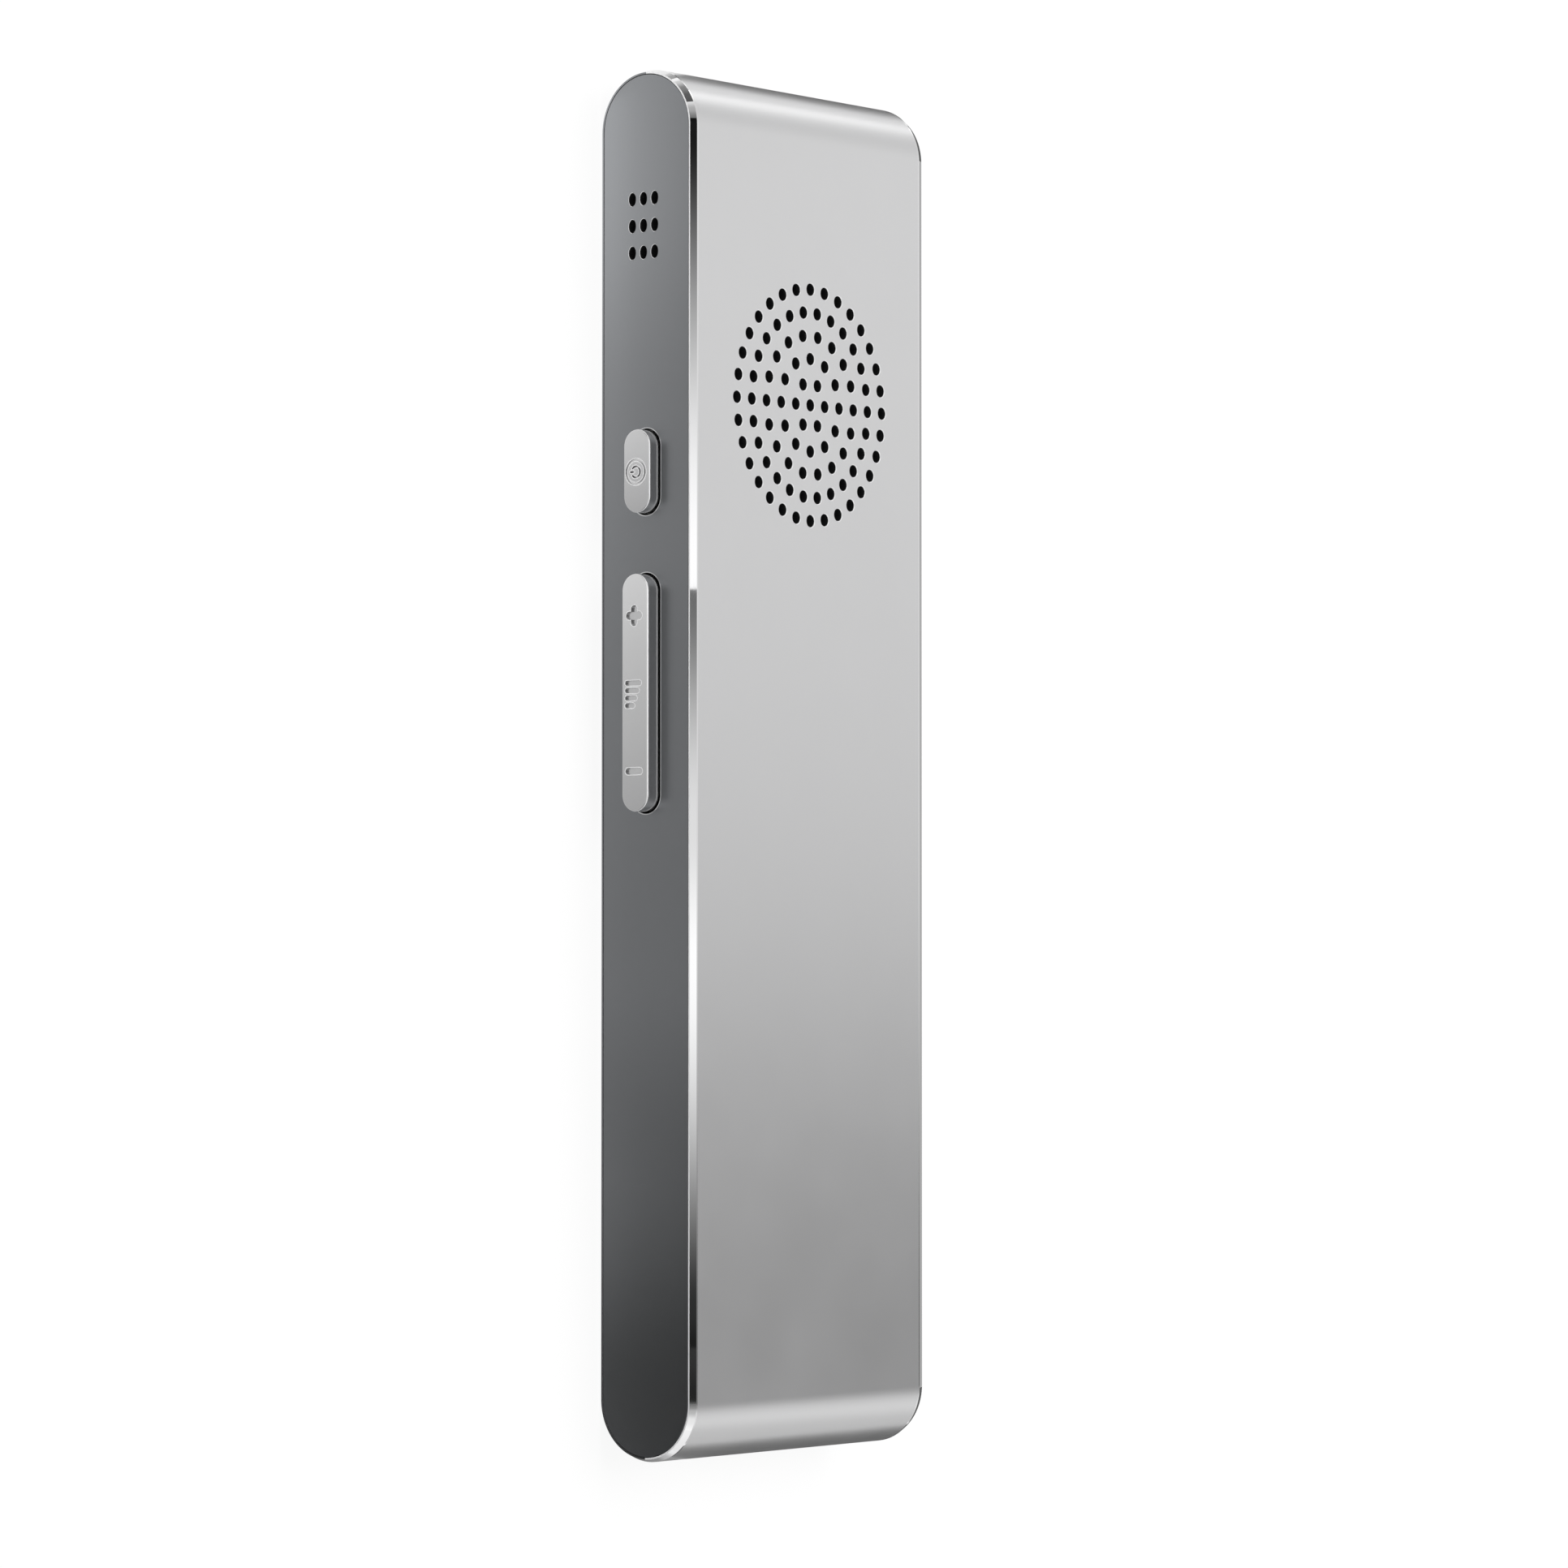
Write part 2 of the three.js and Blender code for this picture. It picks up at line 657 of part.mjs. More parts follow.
// Steel strip that backs the side switches; its rounded rib is the rocker's fulcrum.
function addKeyBracket() {
  const lowY = rockerCentreY - rockerArm - switchLength / 2 - bracketEndMargin;
  const highY = powerKeyCentreY + switchLength / 2 + bracketEndMargin;
  const strip = block(-bracketFrontX, -carrierLeftX, lowY, highY, boardTopZ, boardTopZ + bracketHeight);
  const lowZ = midZ - fulcrumHeight / 2;
  const highZ = midZ + fulcrumHeight / 2;
  const reach = fulcrumWidth / 2;
  const tipCentreX = contactGap + reach - rockerFlangeBackX;
  const rib = block(
    tipCentreX, -carrierLeftX, rockerCentreY - reach, rockerCentreY + reach, lowZ, highZ,
  );
  const tip = rodZ(fulcrumWidth, lowZ, highZ, tipCentreX, rockerCentreY, holeSides);
  addPiece('key_bracket', join([strip, rib, tip]), steel);
}

function addMicrophone() {
  const outline = roundedOutline(micBootLength, micBootWidth, micBootRim, micCentreY, micZ);
  const meshBackX = plateInnerX - micMeshThickness;
  const capsuleFrontX = flexFrontX + micCapsuleDepth;
  const mesh = extrudeX(outline, -plateInnerX, -meshBackX, cornerArcSteps);
  addPiece('microphone_mesh', mesh, blackPlastic);

  const cupOutline = roundedOutline(
    micBootLength - 2 * micBootRim, micBootWidth - 2 * micBootRim, micBootRim / 2, micCentreY, micZ,
  );
  const outside = extrudeX(outline, -meshBackX, -capsuleFrontX, cornerArcSteps);
  const cup = extrudeX(cupOutline, -meshBackX - cutOverrun, -capsuleFrontX - micBootFloor, cornerArcSteps);
  const port = rodX(micPortDiameter, -meshBackX, -capsuleFrontX + cutOverrun, micCentreY, micZ, holeSides);
  addPiece('microphone_boot', cut(outside, [cup, port]), blackRubber);

  const capsule = block(
    -capsuleFrontX, -flexFrontX,
    micCentreY - micCapsuleLength / 2, micCentreY + micCapsuleLength / 2,
    micZ - micCapsuleWidth / 2, micZ + micCapsuleWidth / 2,
  );
  addPiece('microphone_capsule', capsule, steel);
}

function addChargingSocket() {
  const mouthX = plateOuterX - socketSink;
  const backX = mouthX - socketLength;
  const outline = (inset) => roundedOutline(
    socketWidth - 2 * inset, socketHeight - 2 * inset, socketCorner - inset, socketCentreY, midZ,
  );
  const outside = extrudeX(outline(0), backX, mouthX, keyArcSteps);
  const bore = extrudeX(outline(socketWall), backX - cutOverrun, mouthX + cutOverrun, keyArcSteps);
  addPiece('charging_socket_shell', cut(outside, [bore]), steel);

  const base = extrudeX(outline(socketWall + contactGap), backX, backX + tongueBaseLength, keyArcSteps);
  const reachY = socketWidth / 2 - socketWall - tongueMargin;
  const tongue = block(
    backX, mouthX - tongueSetback, socketCentreY - reachY, socketCentreY + reachY,
    midZ - tongueThickness / 2, midZ + tongueThickness / 2,
  );
  addPiece('charging_socket_tongue', join([base, tongue]), blackPlastic);
}

function screwPlaces() {
  const places = [];
  for (const x of [-screwSpread, screwSpread]) {
    for (const y of [-screwY, screwY]) {
      places.push([x, y]);
    }
  }
  return places;
}

function screwHole([x, y]) {
  const diameter = screwShankDiameter + 2 * fitGap;
  return rodZ(diameter, boardBottomZ - cutOverrun, boardTopZ + screwGrip + fitGap, x, y, holeSides);
}

function addMainBoard() {
  const lowX = -flexFrontX;
  const outline = roundedOutline(
    boardRightX - lowX, 2 * boardEndY, boardCorner, (lowX + boardRightX) / 2, 0,
  );
  const board = extrudeZ(outline, boardBottomZ, boardTopZ, cornerArcSteps);
  addPiece('main_board', cut(board, screwPlaces().map(screwHole)), greenBoard);
}

function addBoardScrews() {
  const head = rodZ(screwHeadDiameter, -screwHeadHeight, 0, 0, 0, holeSides);
  const shank = rodZ(screwShankDiameter, -screwHeadHeight, boardThickness + screwGrip, 0, 0, holeSides);
  const screw = join([head, shank]);
  screwPlaces().forEach(([x, y], index) => {
    addPiece('board_screw_' + (index + 1), screw, steel, x, y, boardBottomZ);
  });
}

// Chips on the board's underside, two of them under a shield can.
function addBoardParts() {
  const can = chip(canWidth, canLength, boardBottomZ - canHeight, boardBottomZ, 0, canCentreY);
  const hollow = chip(
    canWidth - 2 * canWall, canLength - 2 * canWall,
    boardBottomZ - canHeight + canWall, boardBottomZ + cutOverrun, 0, canCentreY,
  );
  addPiece('shield_can', cut(can, [hollow]), steel);

  const processorX = -(processorSize + chipSpacing) / 2;
  const memoryX = (memorySize + chipSpacing) / 2;
  const processor = chip(
    processorSize, processorSize, boardBottomZ - processorHeight, boardBottomZ, processorX, canCentreY,
  );
  addPiece('processor', processor, chipResin);
  const memory = chip(memorySize, memorySize, boardBottomZ - memoryHeight, boardBottomZ, memoryX, canCentreY);
  addPiece('memory_chip', memory, chipResin);
  const radio = chip(radioWidth, radioLength, boardBottomZ - radioHeight, boardBottomZ, 0, radioCentreY);
  addPiece('radio_module', radio, steel);
  const amplifier = chip(
    amplifierSize, amplifierSize, boardBottomZ - amplifierHeight, boardBottomZ, screwSpread, grilleCentreY,
  );
  addPiece('audio_amplifier', amplifier, chipResin);
}

function addStatusLight() {
  const lampFaceZ = boardBottomZ - ledHeight;
  addPiece('status_led', chip(ledWidth, ledLength, lampFaceZ, boardBottomZ, 0, ledCentreY), whitePlastic);
  const stem = rodZ(guideDiameter, guideSink, lampFaceZ - contactGap, 0, ledCentreY, holeSides);
  const collar = rodZ(
    2 * guideReach, bodyWall, bodyWall + guideCollarThickness, 0, ledCentreY, holeSides,
  );
  addPiece('led_light_guide', join([stem, collar]), clearPlastic);
}

// Moulded frame that fills the band's round ends and holds board, battery and loudspeaker.
function addCarrier() {
  const frame = extrudeX(bandOutline(bodyWall + fitGap), -carrierRightX, carrierRightX, endArcSteps / 2);
  const aboveBay = (lowY, highY, lowZ, highZ) => block(-bayLeftX, bayRightX, lowY, highY, lowZ, highZ);
  const lowZ = -cutOverrun;
  const highZ = bodyThickness + cutOverrun;
  const wideX = halfWidth + cutOverrun;
  const boardEnd = boardEndY + fitGap;
  const outsideCuts = [
    block(-wideX, wideX, -carrierEndY, carrierEndY, carrierTopZ, highZ),
    block(-wideX, wideX, -boardEnd, boardEnd, lowZ, boardTopZ),
    block(-wideX, -carrierLeftX, -carrierEndY, carrierEndY, lowZ, highZ),
  ];
  const bays = [
    aboveBay(-carrierEndY, batteryRibY, lowZ, highZ),
    aboveBay(batteryRibY + carrierWall, speakerRibLowY - carrierWall, lowZ, highZ),
    aboveBay(speakerRibLowY, speakerRibHighY, lowZ, carrierTopZ - carrierRoof),
    aboveBay(speakerRibHighY + carrierWall, carrierEndY, lowZ, highZ),
    rodZ(2 * (basketRadius + fitGap), lowZ, highZ, 0, grilleCentreY, roundSides),
  ];
  const socketReach = socketWidth / 2 + fitGap;
  const leadReach = (leadSpacing + leadDiameter) / 2 + leadNotchMargin;
  const notches = [
    block(bayRightX - cutOverrun, wideX, socketCentreY - socketReach, socketCentreY + socketReach, lowZ, highZ),
    block(
      batteryMidX - leadReach, batteryMidX + leadReach,
      batteryRibY - cutOverrun, batteryRibY + carrierWall + cutOverrun,
      batteryMidZ - leadDiameter / 2 - fitGap, highZ,
    ),
  ];
  const pocketX = screwSpread - screwBossWall;
  const pocketLowY = carrierEndY + carrierWall;
  const pocketHighY = boardEndY + carrierWall;
  const pocketZ = boardTopZ + carrierWall;
  const pockets = [
    block(-pocketX, pocketX, pocketLowY, pocketHighY, pocketZ, highZ),
    block(-pocketX, pocketX, -pocketHighY, -pocketLowY, pocketZ, highZ),
  ];
  const screwHoles = screwPlaces().map(screwHole);
  const carrier = cut(frame, [...outsideCuts, ...bays, ...notches, ...pockets, ...screwHoles]);
  addPiece('carrier_frame', carrier, blackPlastic);
}

function addAntenna() {
  const antenna = block(
    carrierRightX, carrierRightX + antennaThickness,
    antennaToEnd - halfLength, batteryRibY - antennaToRib,
    boardTopZ, boardTopZ + antennaHeight,
  );
  addPiece('antenna_strip', antenna, amberFilm);
}

function addLoudspeaker() {
  const discRadius = gasketOuterRadius;
  const mesh = rodZ(2 * discRadius, speakerMeshZ, innerTopZ, 0, grilleCentreY, roundSides);
  addPiece('speaker_mesh', mesh, blackPlastic);

  const ring = rodZ(2 * gasketOuterRadius, speakerTopZ, speakerMeshZ, 0, grilleCentreY, roundSides);
  const ringBore = rodZ(
    2 * gasketInnerRadius, speakerTopZ - cutOverrun, speakerMeshZ + cutOverrun, 0, grilleCentreY, roundSides,
  );
  addPiece('speaker_gasket', cut(ring, [ringBore]), blackRubber);

  const basket = turnedOnSpeakerAxis([
    [0, basketBottomZ],
    [basketRadius, basketBottomZ],
    [basketRadius, carrierTopZ],
    [gasketOuterRadius, carrierTopZ],
    [gasketOuterRadius, speakerTopZ],
    [surroundRadius, speakerTopZ],
    [surroundRadius, surroundZ],
    [basketRadius - basketWall, surroundZ],
    [basketRadius - basketWall, basketFloorZ],
    [0, basketFloorZ],
  ]);
  addPiece('speaker_basket', basket, steel);

  const magnetTopZ = basketFloorZ + magnetHeight;
  const magnet = rodZ(magnetDiameter, basketFloorZ, magnetTopZ, 0, grilleCentreY, roundSides);
  addPiece('speaker_magnet', magnet, steel);

  const rimRadius = surroundRadius - contactGap;
  const coneRadius = rimRadius - 2 * basketWall;
  const domeRadius = magnetDiameter / 4;
  const rollRadius = (rimRadius + coneRadius) / 2;
  const domeZ = surroundZ - coneDepth;
  const cone = turnedOnSpeakerAxis([
    [0, domeZ],
    [domeRadius, domeZ - coneThickness],
    [coneRadius, surroundZ],
    [rimRadius, surroundZ],
    [rimRadius, surroundZ + coneThickness],
    [rollRadius, surroundZ + 2 * coneThickness],
    [coneRadius, surroundZ + coneThickness],
    [domeRadius, domeZ],
    [0, domeZ + coneThickness],
  ]);
  addPiece('speaker_cone', cone, conePaper);
}

// Two wires from the loudspeaker's side down to the board.
function addSpeakerLeads() {
  const sides = { left: -speakerLeadSpread, right: speakerLeadSpread };
  const startY = grilleCentreY - Math.sqrt(basketRadius ** 2 - speakerLeadSpread ** 2) - contactGap * 2;
  for (const [name, x] of Object.entries(sides)) {
    const topZ = boardTopZ + speakerLeadHeight;
    const endY = startY - speakerLeadReach;
    const lead = wire([
      new THREE.Vector3(x, startY, topZ),
      new THREE.Vector3(x, (startY + endY) / 2, topZ),
      new THREE.Vector3(x, endY, (topZ + boardTopZ) / 2),
      new THREE.Vector3(x, endY, boardTopZ + contactGap),
    ]);
    addPiece('speaker_lead_' + name, lead, name === 'left' ? blackWire : redWire);
  }
}

function addBattery() {
  const sizeX = batteryHighX - batteryLowX;
  const sizeY = batteryHighY - batteryLowY;
  const midY = (batteryLowY + batteryHighY) / 2;
  addPiece('battery_pad', chip(sizeX, sizeY, boardTopZ, batteryBottomZ, batteryMidX, midY), blackRubber);

  const pouch = new THREE.ExtrudeGeometry(roundedOutline(sizeX, sizeY, batteryCorner, batteryMidX, midY), {
    depth: batteryTopZ - batteryBottomZ - 2 * batteryEdge,
    bevelThickness: batteryEdge,
    bevelSize: batteryEdge,
    bevelOffset: -batteryEdge,
    bevelSegments: 2,
    curveSegments: cornerArcSteps,
  });
  pouch.translate(0, 0, batteryBottomZ + batteryEdge);
  addPiece('battery_cell', solidOf(pouch), batteryFoil);

  const reachX = batteryBoardWidth / 2;
  const reachZ = batteryBoardHeight / 2;
  const guard = block(
    batteryMidX - reachX, batteryMidX + reachX, batteryHighY, batteryBoardHighY,
    batteryMidZ - reachZ, batteryMidZ + reachZ,
  );
  addPiece('battery_guard_board', guard, greenBoard);

  const plug = chip(
    connectorWidth, connectorLength, boardTopZ, boardTopZ + connectorHeight,
    batteryMidX, connectorLowY + connectorLength / 2,
  );
  addPiece('battery_connector', plug, whitePlastic);
}

// Two wires from the battery's guard board through the rib's notch to the connector.
function addBatteryLeads() {
  const sides = { negative: -leadSpacing / 2, positive: leadSpacing / 2 };
  const startY = batteryBoardHighY + contactGap;
  const ribEndY = batteryRibY + carrierWall + fitGap;
  const endY = connectorLowY - contactGap;
  const endZ = boardTopZ + connectorHeight / 2;
  for (const [name, offset] of Object.entries(sides)) {
    const x = batteryMidX + offset;
    const lead = wire([
      new THREE.Vector3(x, startY, batteryMidZ),
      new THREE.Vector3(x, ribEndY, batteryMidZ),
      new THREE.Vector3(x, (ribEndY + endY) / 2, (batteryMidZ + endZ) / 2),
      new THREE.Vector3(x, endY - leadDiameter, endZ),
      new THREE.Vector3(x, endY, endZ),
    ]);
    addPiece('battery_lead_' + name, lead, name === 'negative' ? blackWire : redWire);
  }
}

addBodyBand();
addSidePlates();
addPlateSeals();
addPowerKey();
addVolumeRocker();
addSideSwitches();
addKeyFlex();
addKeyBracket();
addTalkKeys();
addMicrophone();
addLoudspeaker();
addSpeakerLeads();
addChargingSocket();
addMainBoard();
addBoardParts();
addBoardScrews();
addStatusLight();
addCarrier();
addAntenna();
addBattery();
addBatteryLeads();

export default translator;
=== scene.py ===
import math

import bmesh
import bpy
from mathutils import Matrix, Vector


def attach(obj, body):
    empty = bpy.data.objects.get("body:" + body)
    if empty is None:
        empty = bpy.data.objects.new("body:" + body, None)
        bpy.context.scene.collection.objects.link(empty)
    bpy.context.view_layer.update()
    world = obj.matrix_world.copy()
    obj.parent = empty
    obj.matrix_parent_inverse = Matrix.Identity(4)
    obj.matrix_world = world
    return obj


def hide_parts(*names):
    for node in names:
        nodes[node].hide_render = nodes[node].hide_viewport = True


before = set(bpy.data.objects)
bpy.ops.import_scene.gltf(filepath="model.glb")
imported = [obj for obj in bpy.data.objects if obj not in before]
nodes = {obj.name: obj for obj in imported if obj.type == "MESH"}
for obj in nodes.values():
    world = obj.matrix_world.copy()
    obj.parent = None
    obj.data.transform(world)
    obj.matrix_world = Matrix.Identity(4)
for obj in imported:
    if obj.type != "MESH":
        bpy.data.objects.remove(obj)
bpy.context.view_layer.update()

# Body band: one flat aluminium tube with round ends, bead-blasted and clear anodised, its holes drilled.
# Outside, both rims are diamond-cut to a bright chamfer. Inside, they are milled back for side plates.
# The narrow land between is cut bright, and along the lower half of the control side it is painted dark
# as painted shade.
mm = 0.001
band_length = 142
band_width = 38.6
band_thickness = 12.3
band_wall = 1.2
half_width = band_width / 2
mid_z = band_thickness / 2
inner_top_z = band_thickness - band_wall
chamfer_width = 0.76
chamfer_inset = 0.3
land_width = 0.17
bright_strip_width = 0.2
bright_strip_drop = 0.005
rebate_inset = chamfer_inset + land_width
ledge_x = 18.05
band_arc_steps = 48
grille_centre_y = 37.6
grille_pitch = 2.41
grille_rings = 5
drilled_radius = 0.65
drilled_edge = 0.07
drilled_sides = 24
talk_key_places = (11, -11)
talk_opening_radius = 7.05
light_hole_y = 24
light_hole_radius = 0.9
round_sides = 96
crease = math.radians(16)
weld = 0.001
satin_colour = (0.80, 0.80, 0.805)
polished_colour = (0.88, 0.88, 0.885)
milled_share = 0.9
cloud_size = 9
cloud_detail = 3.0


def swing(bm, place, pivot, angle, steps):
    """Arc of edges from a place about an axis along X. Gives its first and last vertex and its edges."""
    start = bm.verts.new(place)
    before = len(bm.edges)
    arc = bmesh.ops.spin(
        bm, geom=[start], cent=pivot, axis=(1, 0, 0), angle=angle, steps=steps, use_merge=False
    )
    bm.edges.ensure_lookup_table()
    return start, arc["geom_last"][0], list(bm.edges[before:])


def close_loop(bm, arcs):
    """Joins arcs end to end with straight edges and gives the edges of the whole loop."""
    ring = [edge for _, _, edges in arcs for edge in edges]
    for index, (_, end, _) in enumerate(arcs):
        next_start = arcs[(index + 1) % len(arcs)][0]
        ring.append(bm.edges.new((end, next_start)))
    return ring


def racetrack(bm, x, length, height, growth, centre_y, steps, centre_z=mid_z):
    """Loop of edges across the X axis: two half rounds joined by straight sides, grown all round."""
    radius = (height + 2 * growth) / 2
    reach = (length + 2 * growth) / 2 - radius
    arcs = []
    for side in (1, -1):
        pivot = Vector((x, centre_y + side * reach, centre_z))
        arcs.append(swing(bm, pivot + Vector((0, 0, side * radius)), pivot, -math.pi, steps))
    return close_loop(bm, arcs)


def middle(loop):
    corners = [vert.co for edge in loop for vert in edge.verts]
    return sum(corners, Vector()) / len(corners)


def bridge(bm, loops, finish_numbers):
    """Joins each loop to the next one, flat steps first. Each strip takes its own finish number."""
    strips = list(zip(loops, loops[1:], finish_numbers))
    strips.sort(key=lambda strip: (middle(strip[0]) - middle(strip[1])).length)
    for first, second, number in strips:
        for face in bmesh.ops.bridge_loops(bm, edges=first + second)["faces"]:
            face.material_index = number


def fill(bm, loops, normal, finish_number=0):
    """Flat face inside the first loop, left open inside the others."""
    edges = [edge for loop in loops for edge in loop]
    filled = bmesh.ops.triangle_fill(
        bm, use_beauty=False, use_dissolve=False, edges=edges, normal=normal
    )
    for face in filled["geom"]:
        if isinstance(face, bmesh.types.BMFace):
            face.material_index = finish_number


def ring_loops(bm, centre, rings, sides, turn):
    """Circles of (radius, height) about an axis through the centre, turned from Z."""
    loops = []
    for radius, height in rings:
        place = Matrix.Translation(centre) @ turn.to_4x4() @ Matrix.Translation((0, 0, height))
        circle = bmesh.ops.create_circle(
            bm, cap_ends=False, segments=sides, radius=radius, matrix=place
        )
        loops.append(list(dict.fromkeys(edge for vert in circle["verts"] for edge in vert.link_edges)))
    return loops


def open_wall(bm, z):
    """Takes out the one long face of a flat wall and gives its edges."""
    wall = min(bm.faces, key=lambda face: (face.calc_center_median() - Vector((0, 0, z))).length)
    edges = list(wall.edges)
    bmesh.ops.delete(bm, geom=[wall], context="FACES_ONLY")
    return edges


def add_object(bm, name, finishes):
    """Turns the mesh that was worked on into an object at the origin, with its finishes."""
    mesh = bpy.data.meshes.new(name)
    bm.to_mesh(mesh)
    bm.free()
    for finish in finishes:
        mesh.materials.append(finish)
    piece = bpy.data.objects.new(name, mesh)
    bpy.context.scene.collection.objects.link(piece)
    return piece


def make_piece(bm, name, finishes):
    """Closed piece in metres, with its faces outwards and its sharp edges marked."""
    bmesh.ops.remove_doubles(bm, verts=bm.verts, dist=weld)
    bmesh.ops.scale(bm, vec=(mm, mm, mm), verts=bm.verts)
    bmesh.ops.recalc_face_normals(bm, faces=bm.faces)
    piece = add_object(bm, name, finishes)
    piece.data.shade_smooth()
    piece.data.set_sharp_from_angle(angle=crease)
    weighted = piece.modifiers.new("even_normals", "WEIGHTED_NORMAL")
    weighted.keep_sharp = True
    return piece


class Signal:
    """What a shader node gives. Sums and products of it add their Math nodes."""

    def __init__(self, shader, socket):
        self.shader = shader
        self.socket = socket

    def math(self, operation, first, second):
        return self.shader.node("ShaderNodeMath", {"operation": operation}, {0: first, 1: second})

    def __add__(self, other):
        return self.math("ADD", self, other)

    def __sub__(self, other):
        return self.math("SUBTRACT", self, other)

    def __rsub__(self, other):
        return self.math("SUBTRACT", other, self)

    def __mul__(self, other):
        return self.math("MULTIPLY", self, other)

    def __gt__(self, other):
        return self.math("GREATER_THAN", self, other)

    __radd__ = __add__
    __rmul__ = __mul__


class Shader:
    """One node tree. Every node comes from node(): its settings first, then its sockets."""

    def __init__(self, tree):
        self.tree = tree
        tree.nodes.clear()

    def node(self, kind, settings, sockets, output=0):
        made = self.tree.nodes.new(kind)
        for name, value in settings.items():
            if name == "stops":
                made.color_ramp.interpolation = "EASE"
                while len(made.color_ramp.elements) < len(value):
                    made.color_ramp.elements.new(0.5)
                for stop, (place, grey) in zip(made.color_ramp.elements, value):
                    stop.position = place
                    stop.color = (grey, grey, grey, 1)
            else:
                setattr(made, name, value)
        for name, value in sockets.items():
            if isinstance(value, Signal):
                self.tree.links.new(value.socket, made.inputs[name])
            else:
                made.inputs[name].default_value = value
        return Signal(self, made.outputs[output]) if made.outputs else None

    def place(self):
        """Where a point lies on the piece, in metres from its origin."""
        return self.node("ShaderNodeTexCoord", {}, {}, "Object")

    def noise(self, size, detail=2.0, stretch=(1, 1, 1)):
        """Cloudy pattern from 0 to 1 with spots of about this size, drawn out by a stretch."""
        scale = [1 / share for share in stretch]
        drawn = self.node("ShaderNodeMapping", {}, {"Vector": self.place(), "Scale": scale})
        sockets = {"Vector": drawn, "Scale": 1 / (size * mm), "Detail": detail}
        return self.node("ShaderNodeTexNoise", {}, sockets)

    def tint(self, mask, low, high):
        """Colour between two colours or tints. A Mix node's colours are inputs 6 and 7, and output 2."""
        first, second = [
            colour if isinstance(colour, Signal) else (*colour, 1) for colour in (low, high)
        ]
        return self.node("ShaderNodeMix", {"data_type": "RGBA"}, {0: mask, 6: first, 7: second}, 2)

    def bump(self, height, depth):
        sockets = {"Height": height, "Distance": depth * mm, "Strength": 1.0}
        return self.node("ShaderNodeBump", {}, sockets)


def new_finish(name):
    material = bpy.data.materials.new(name)
    material.use_nodes = True
    return material, Shader(material.node_tree)


def close_finish(shader, sockets):
    surface = shader.node("ShaderNodeBsdfPrincipled", {}, sockets)
    shader.node("ShaderNodeOutputMaterial", {}, {"Surface": surface})


def shade_of(colour, share):
    return tuple(min(1.0, part * share) for part in colour)


def toned(shader, mask, colour, dark, light):
    """One colour whose tone follows a mask, from a dark share of it to a light one."""
    return shader.tint(mask, shade_of(colour, dark), shade_of(colour, light))


def metal(name, colour, roughness, grain, depth, stretch=(1, 1, 1), unevenness=0.05, metallic=1.0):
    """Bare or anodised metal: a grain of a size and depth, and faint clouds in tone and gloss."""
    material, shader = new_finish(name)
    cloud = shader.noise(cloud_size, cloud_detail, stretch)
    fine = shader.noise(grain, stretch=stretch)
    close_finish(shader, {
        "Base Color": toned(shader, cloud, colour, 0.975, 1.02),
        "Metallic": metallic,
        "Roughness": roughness + (cloud - 0.5) * unevenness + (fine - 0.5) * unevenness,
        "Normal": shader.bump(fine, depth),
    })
    return material


satin_aluminium = metal("satin_aluminium", satin_colour, roughness=0.31, grain=0.11, depth=0.0018)
polished_aluminium = metal(
    "polished_aluminium", polished_colour, roughness=0.022, grain=0.4, depth=0.00005,
    stretch=(1, 30, 1), unevenness=0.012,
)
milled_aluminium = metal(
    "milled_aluminium", shade_of(satin_colour, milled_share), roughness=0.45, grain=0.3, depth=0.004,
    stretch=(1, 12, 1),
)
cut_edge = metal("cut_edge", polished_colour, roughness=0.3, grain=0.15, depth=0.001, metallic=0.25)
# Painted shade: near-black walls for the grille holes, key slots and microphone holes, for the shade deep
# inside them.
bore_painted_shade = metal(
    "bore_painted_shade", (0.012, 0.012, 0.013), roughness=0.55, grain=0.1, depth=0.004, metallic=0.0
)
# Painted shade: a dark finish for the lower half of the control side's land, where shade falls along that
# edge.
land_painted_shade = metal("land_painted_shade", (0.26, 0.266, 0.276), roughness=0.33, grain=0.09, depth=0.0015)
band_finishes = (
    satin_aluminium, polished_aluminium, milled_aluminium, cut_edge, bore_painted_shade, land_painted_shade,
)
satin, polished, milled, cut, bore, shaded_land = range(len(band_finishes))

# Each corner of the band's section has its X, its inset and the finish of the strip that follows it.
band_section = (
    (-half_width, chamfer_inset, polished),
    (-half_width + chamfer_width, bright_strip_drop, polished),
    (-half_width + chamfer_width + bright_strip_width, 0, satin),
    (half_width - chamfer_width - bright_strip_width, 0, polished),
    (half_width - chamfer_width, bright_strip_drop, polished),
    (half_width, chamfer_inset, polished),
    (half_width, rebate_inset, milled),
    (ledge_x, rebate_inset, milled),
    (ledge_x, band_wall, milled),
    (-ledge_x, band_wall, milled),
    (-ledge_x, rebate_inset, milled),
    (-half_width, rebate_inset, cut),
)
bm = bmesh.new()
band_loops = [
    racetrack(bm, x, band_length, band_thickness, -inset, 0, band_arc_steps)
    for x, inset, _ in band_section
]
bridge(bm, band_loops + band_loops[:1], [finish for _, _, finish in band_section])
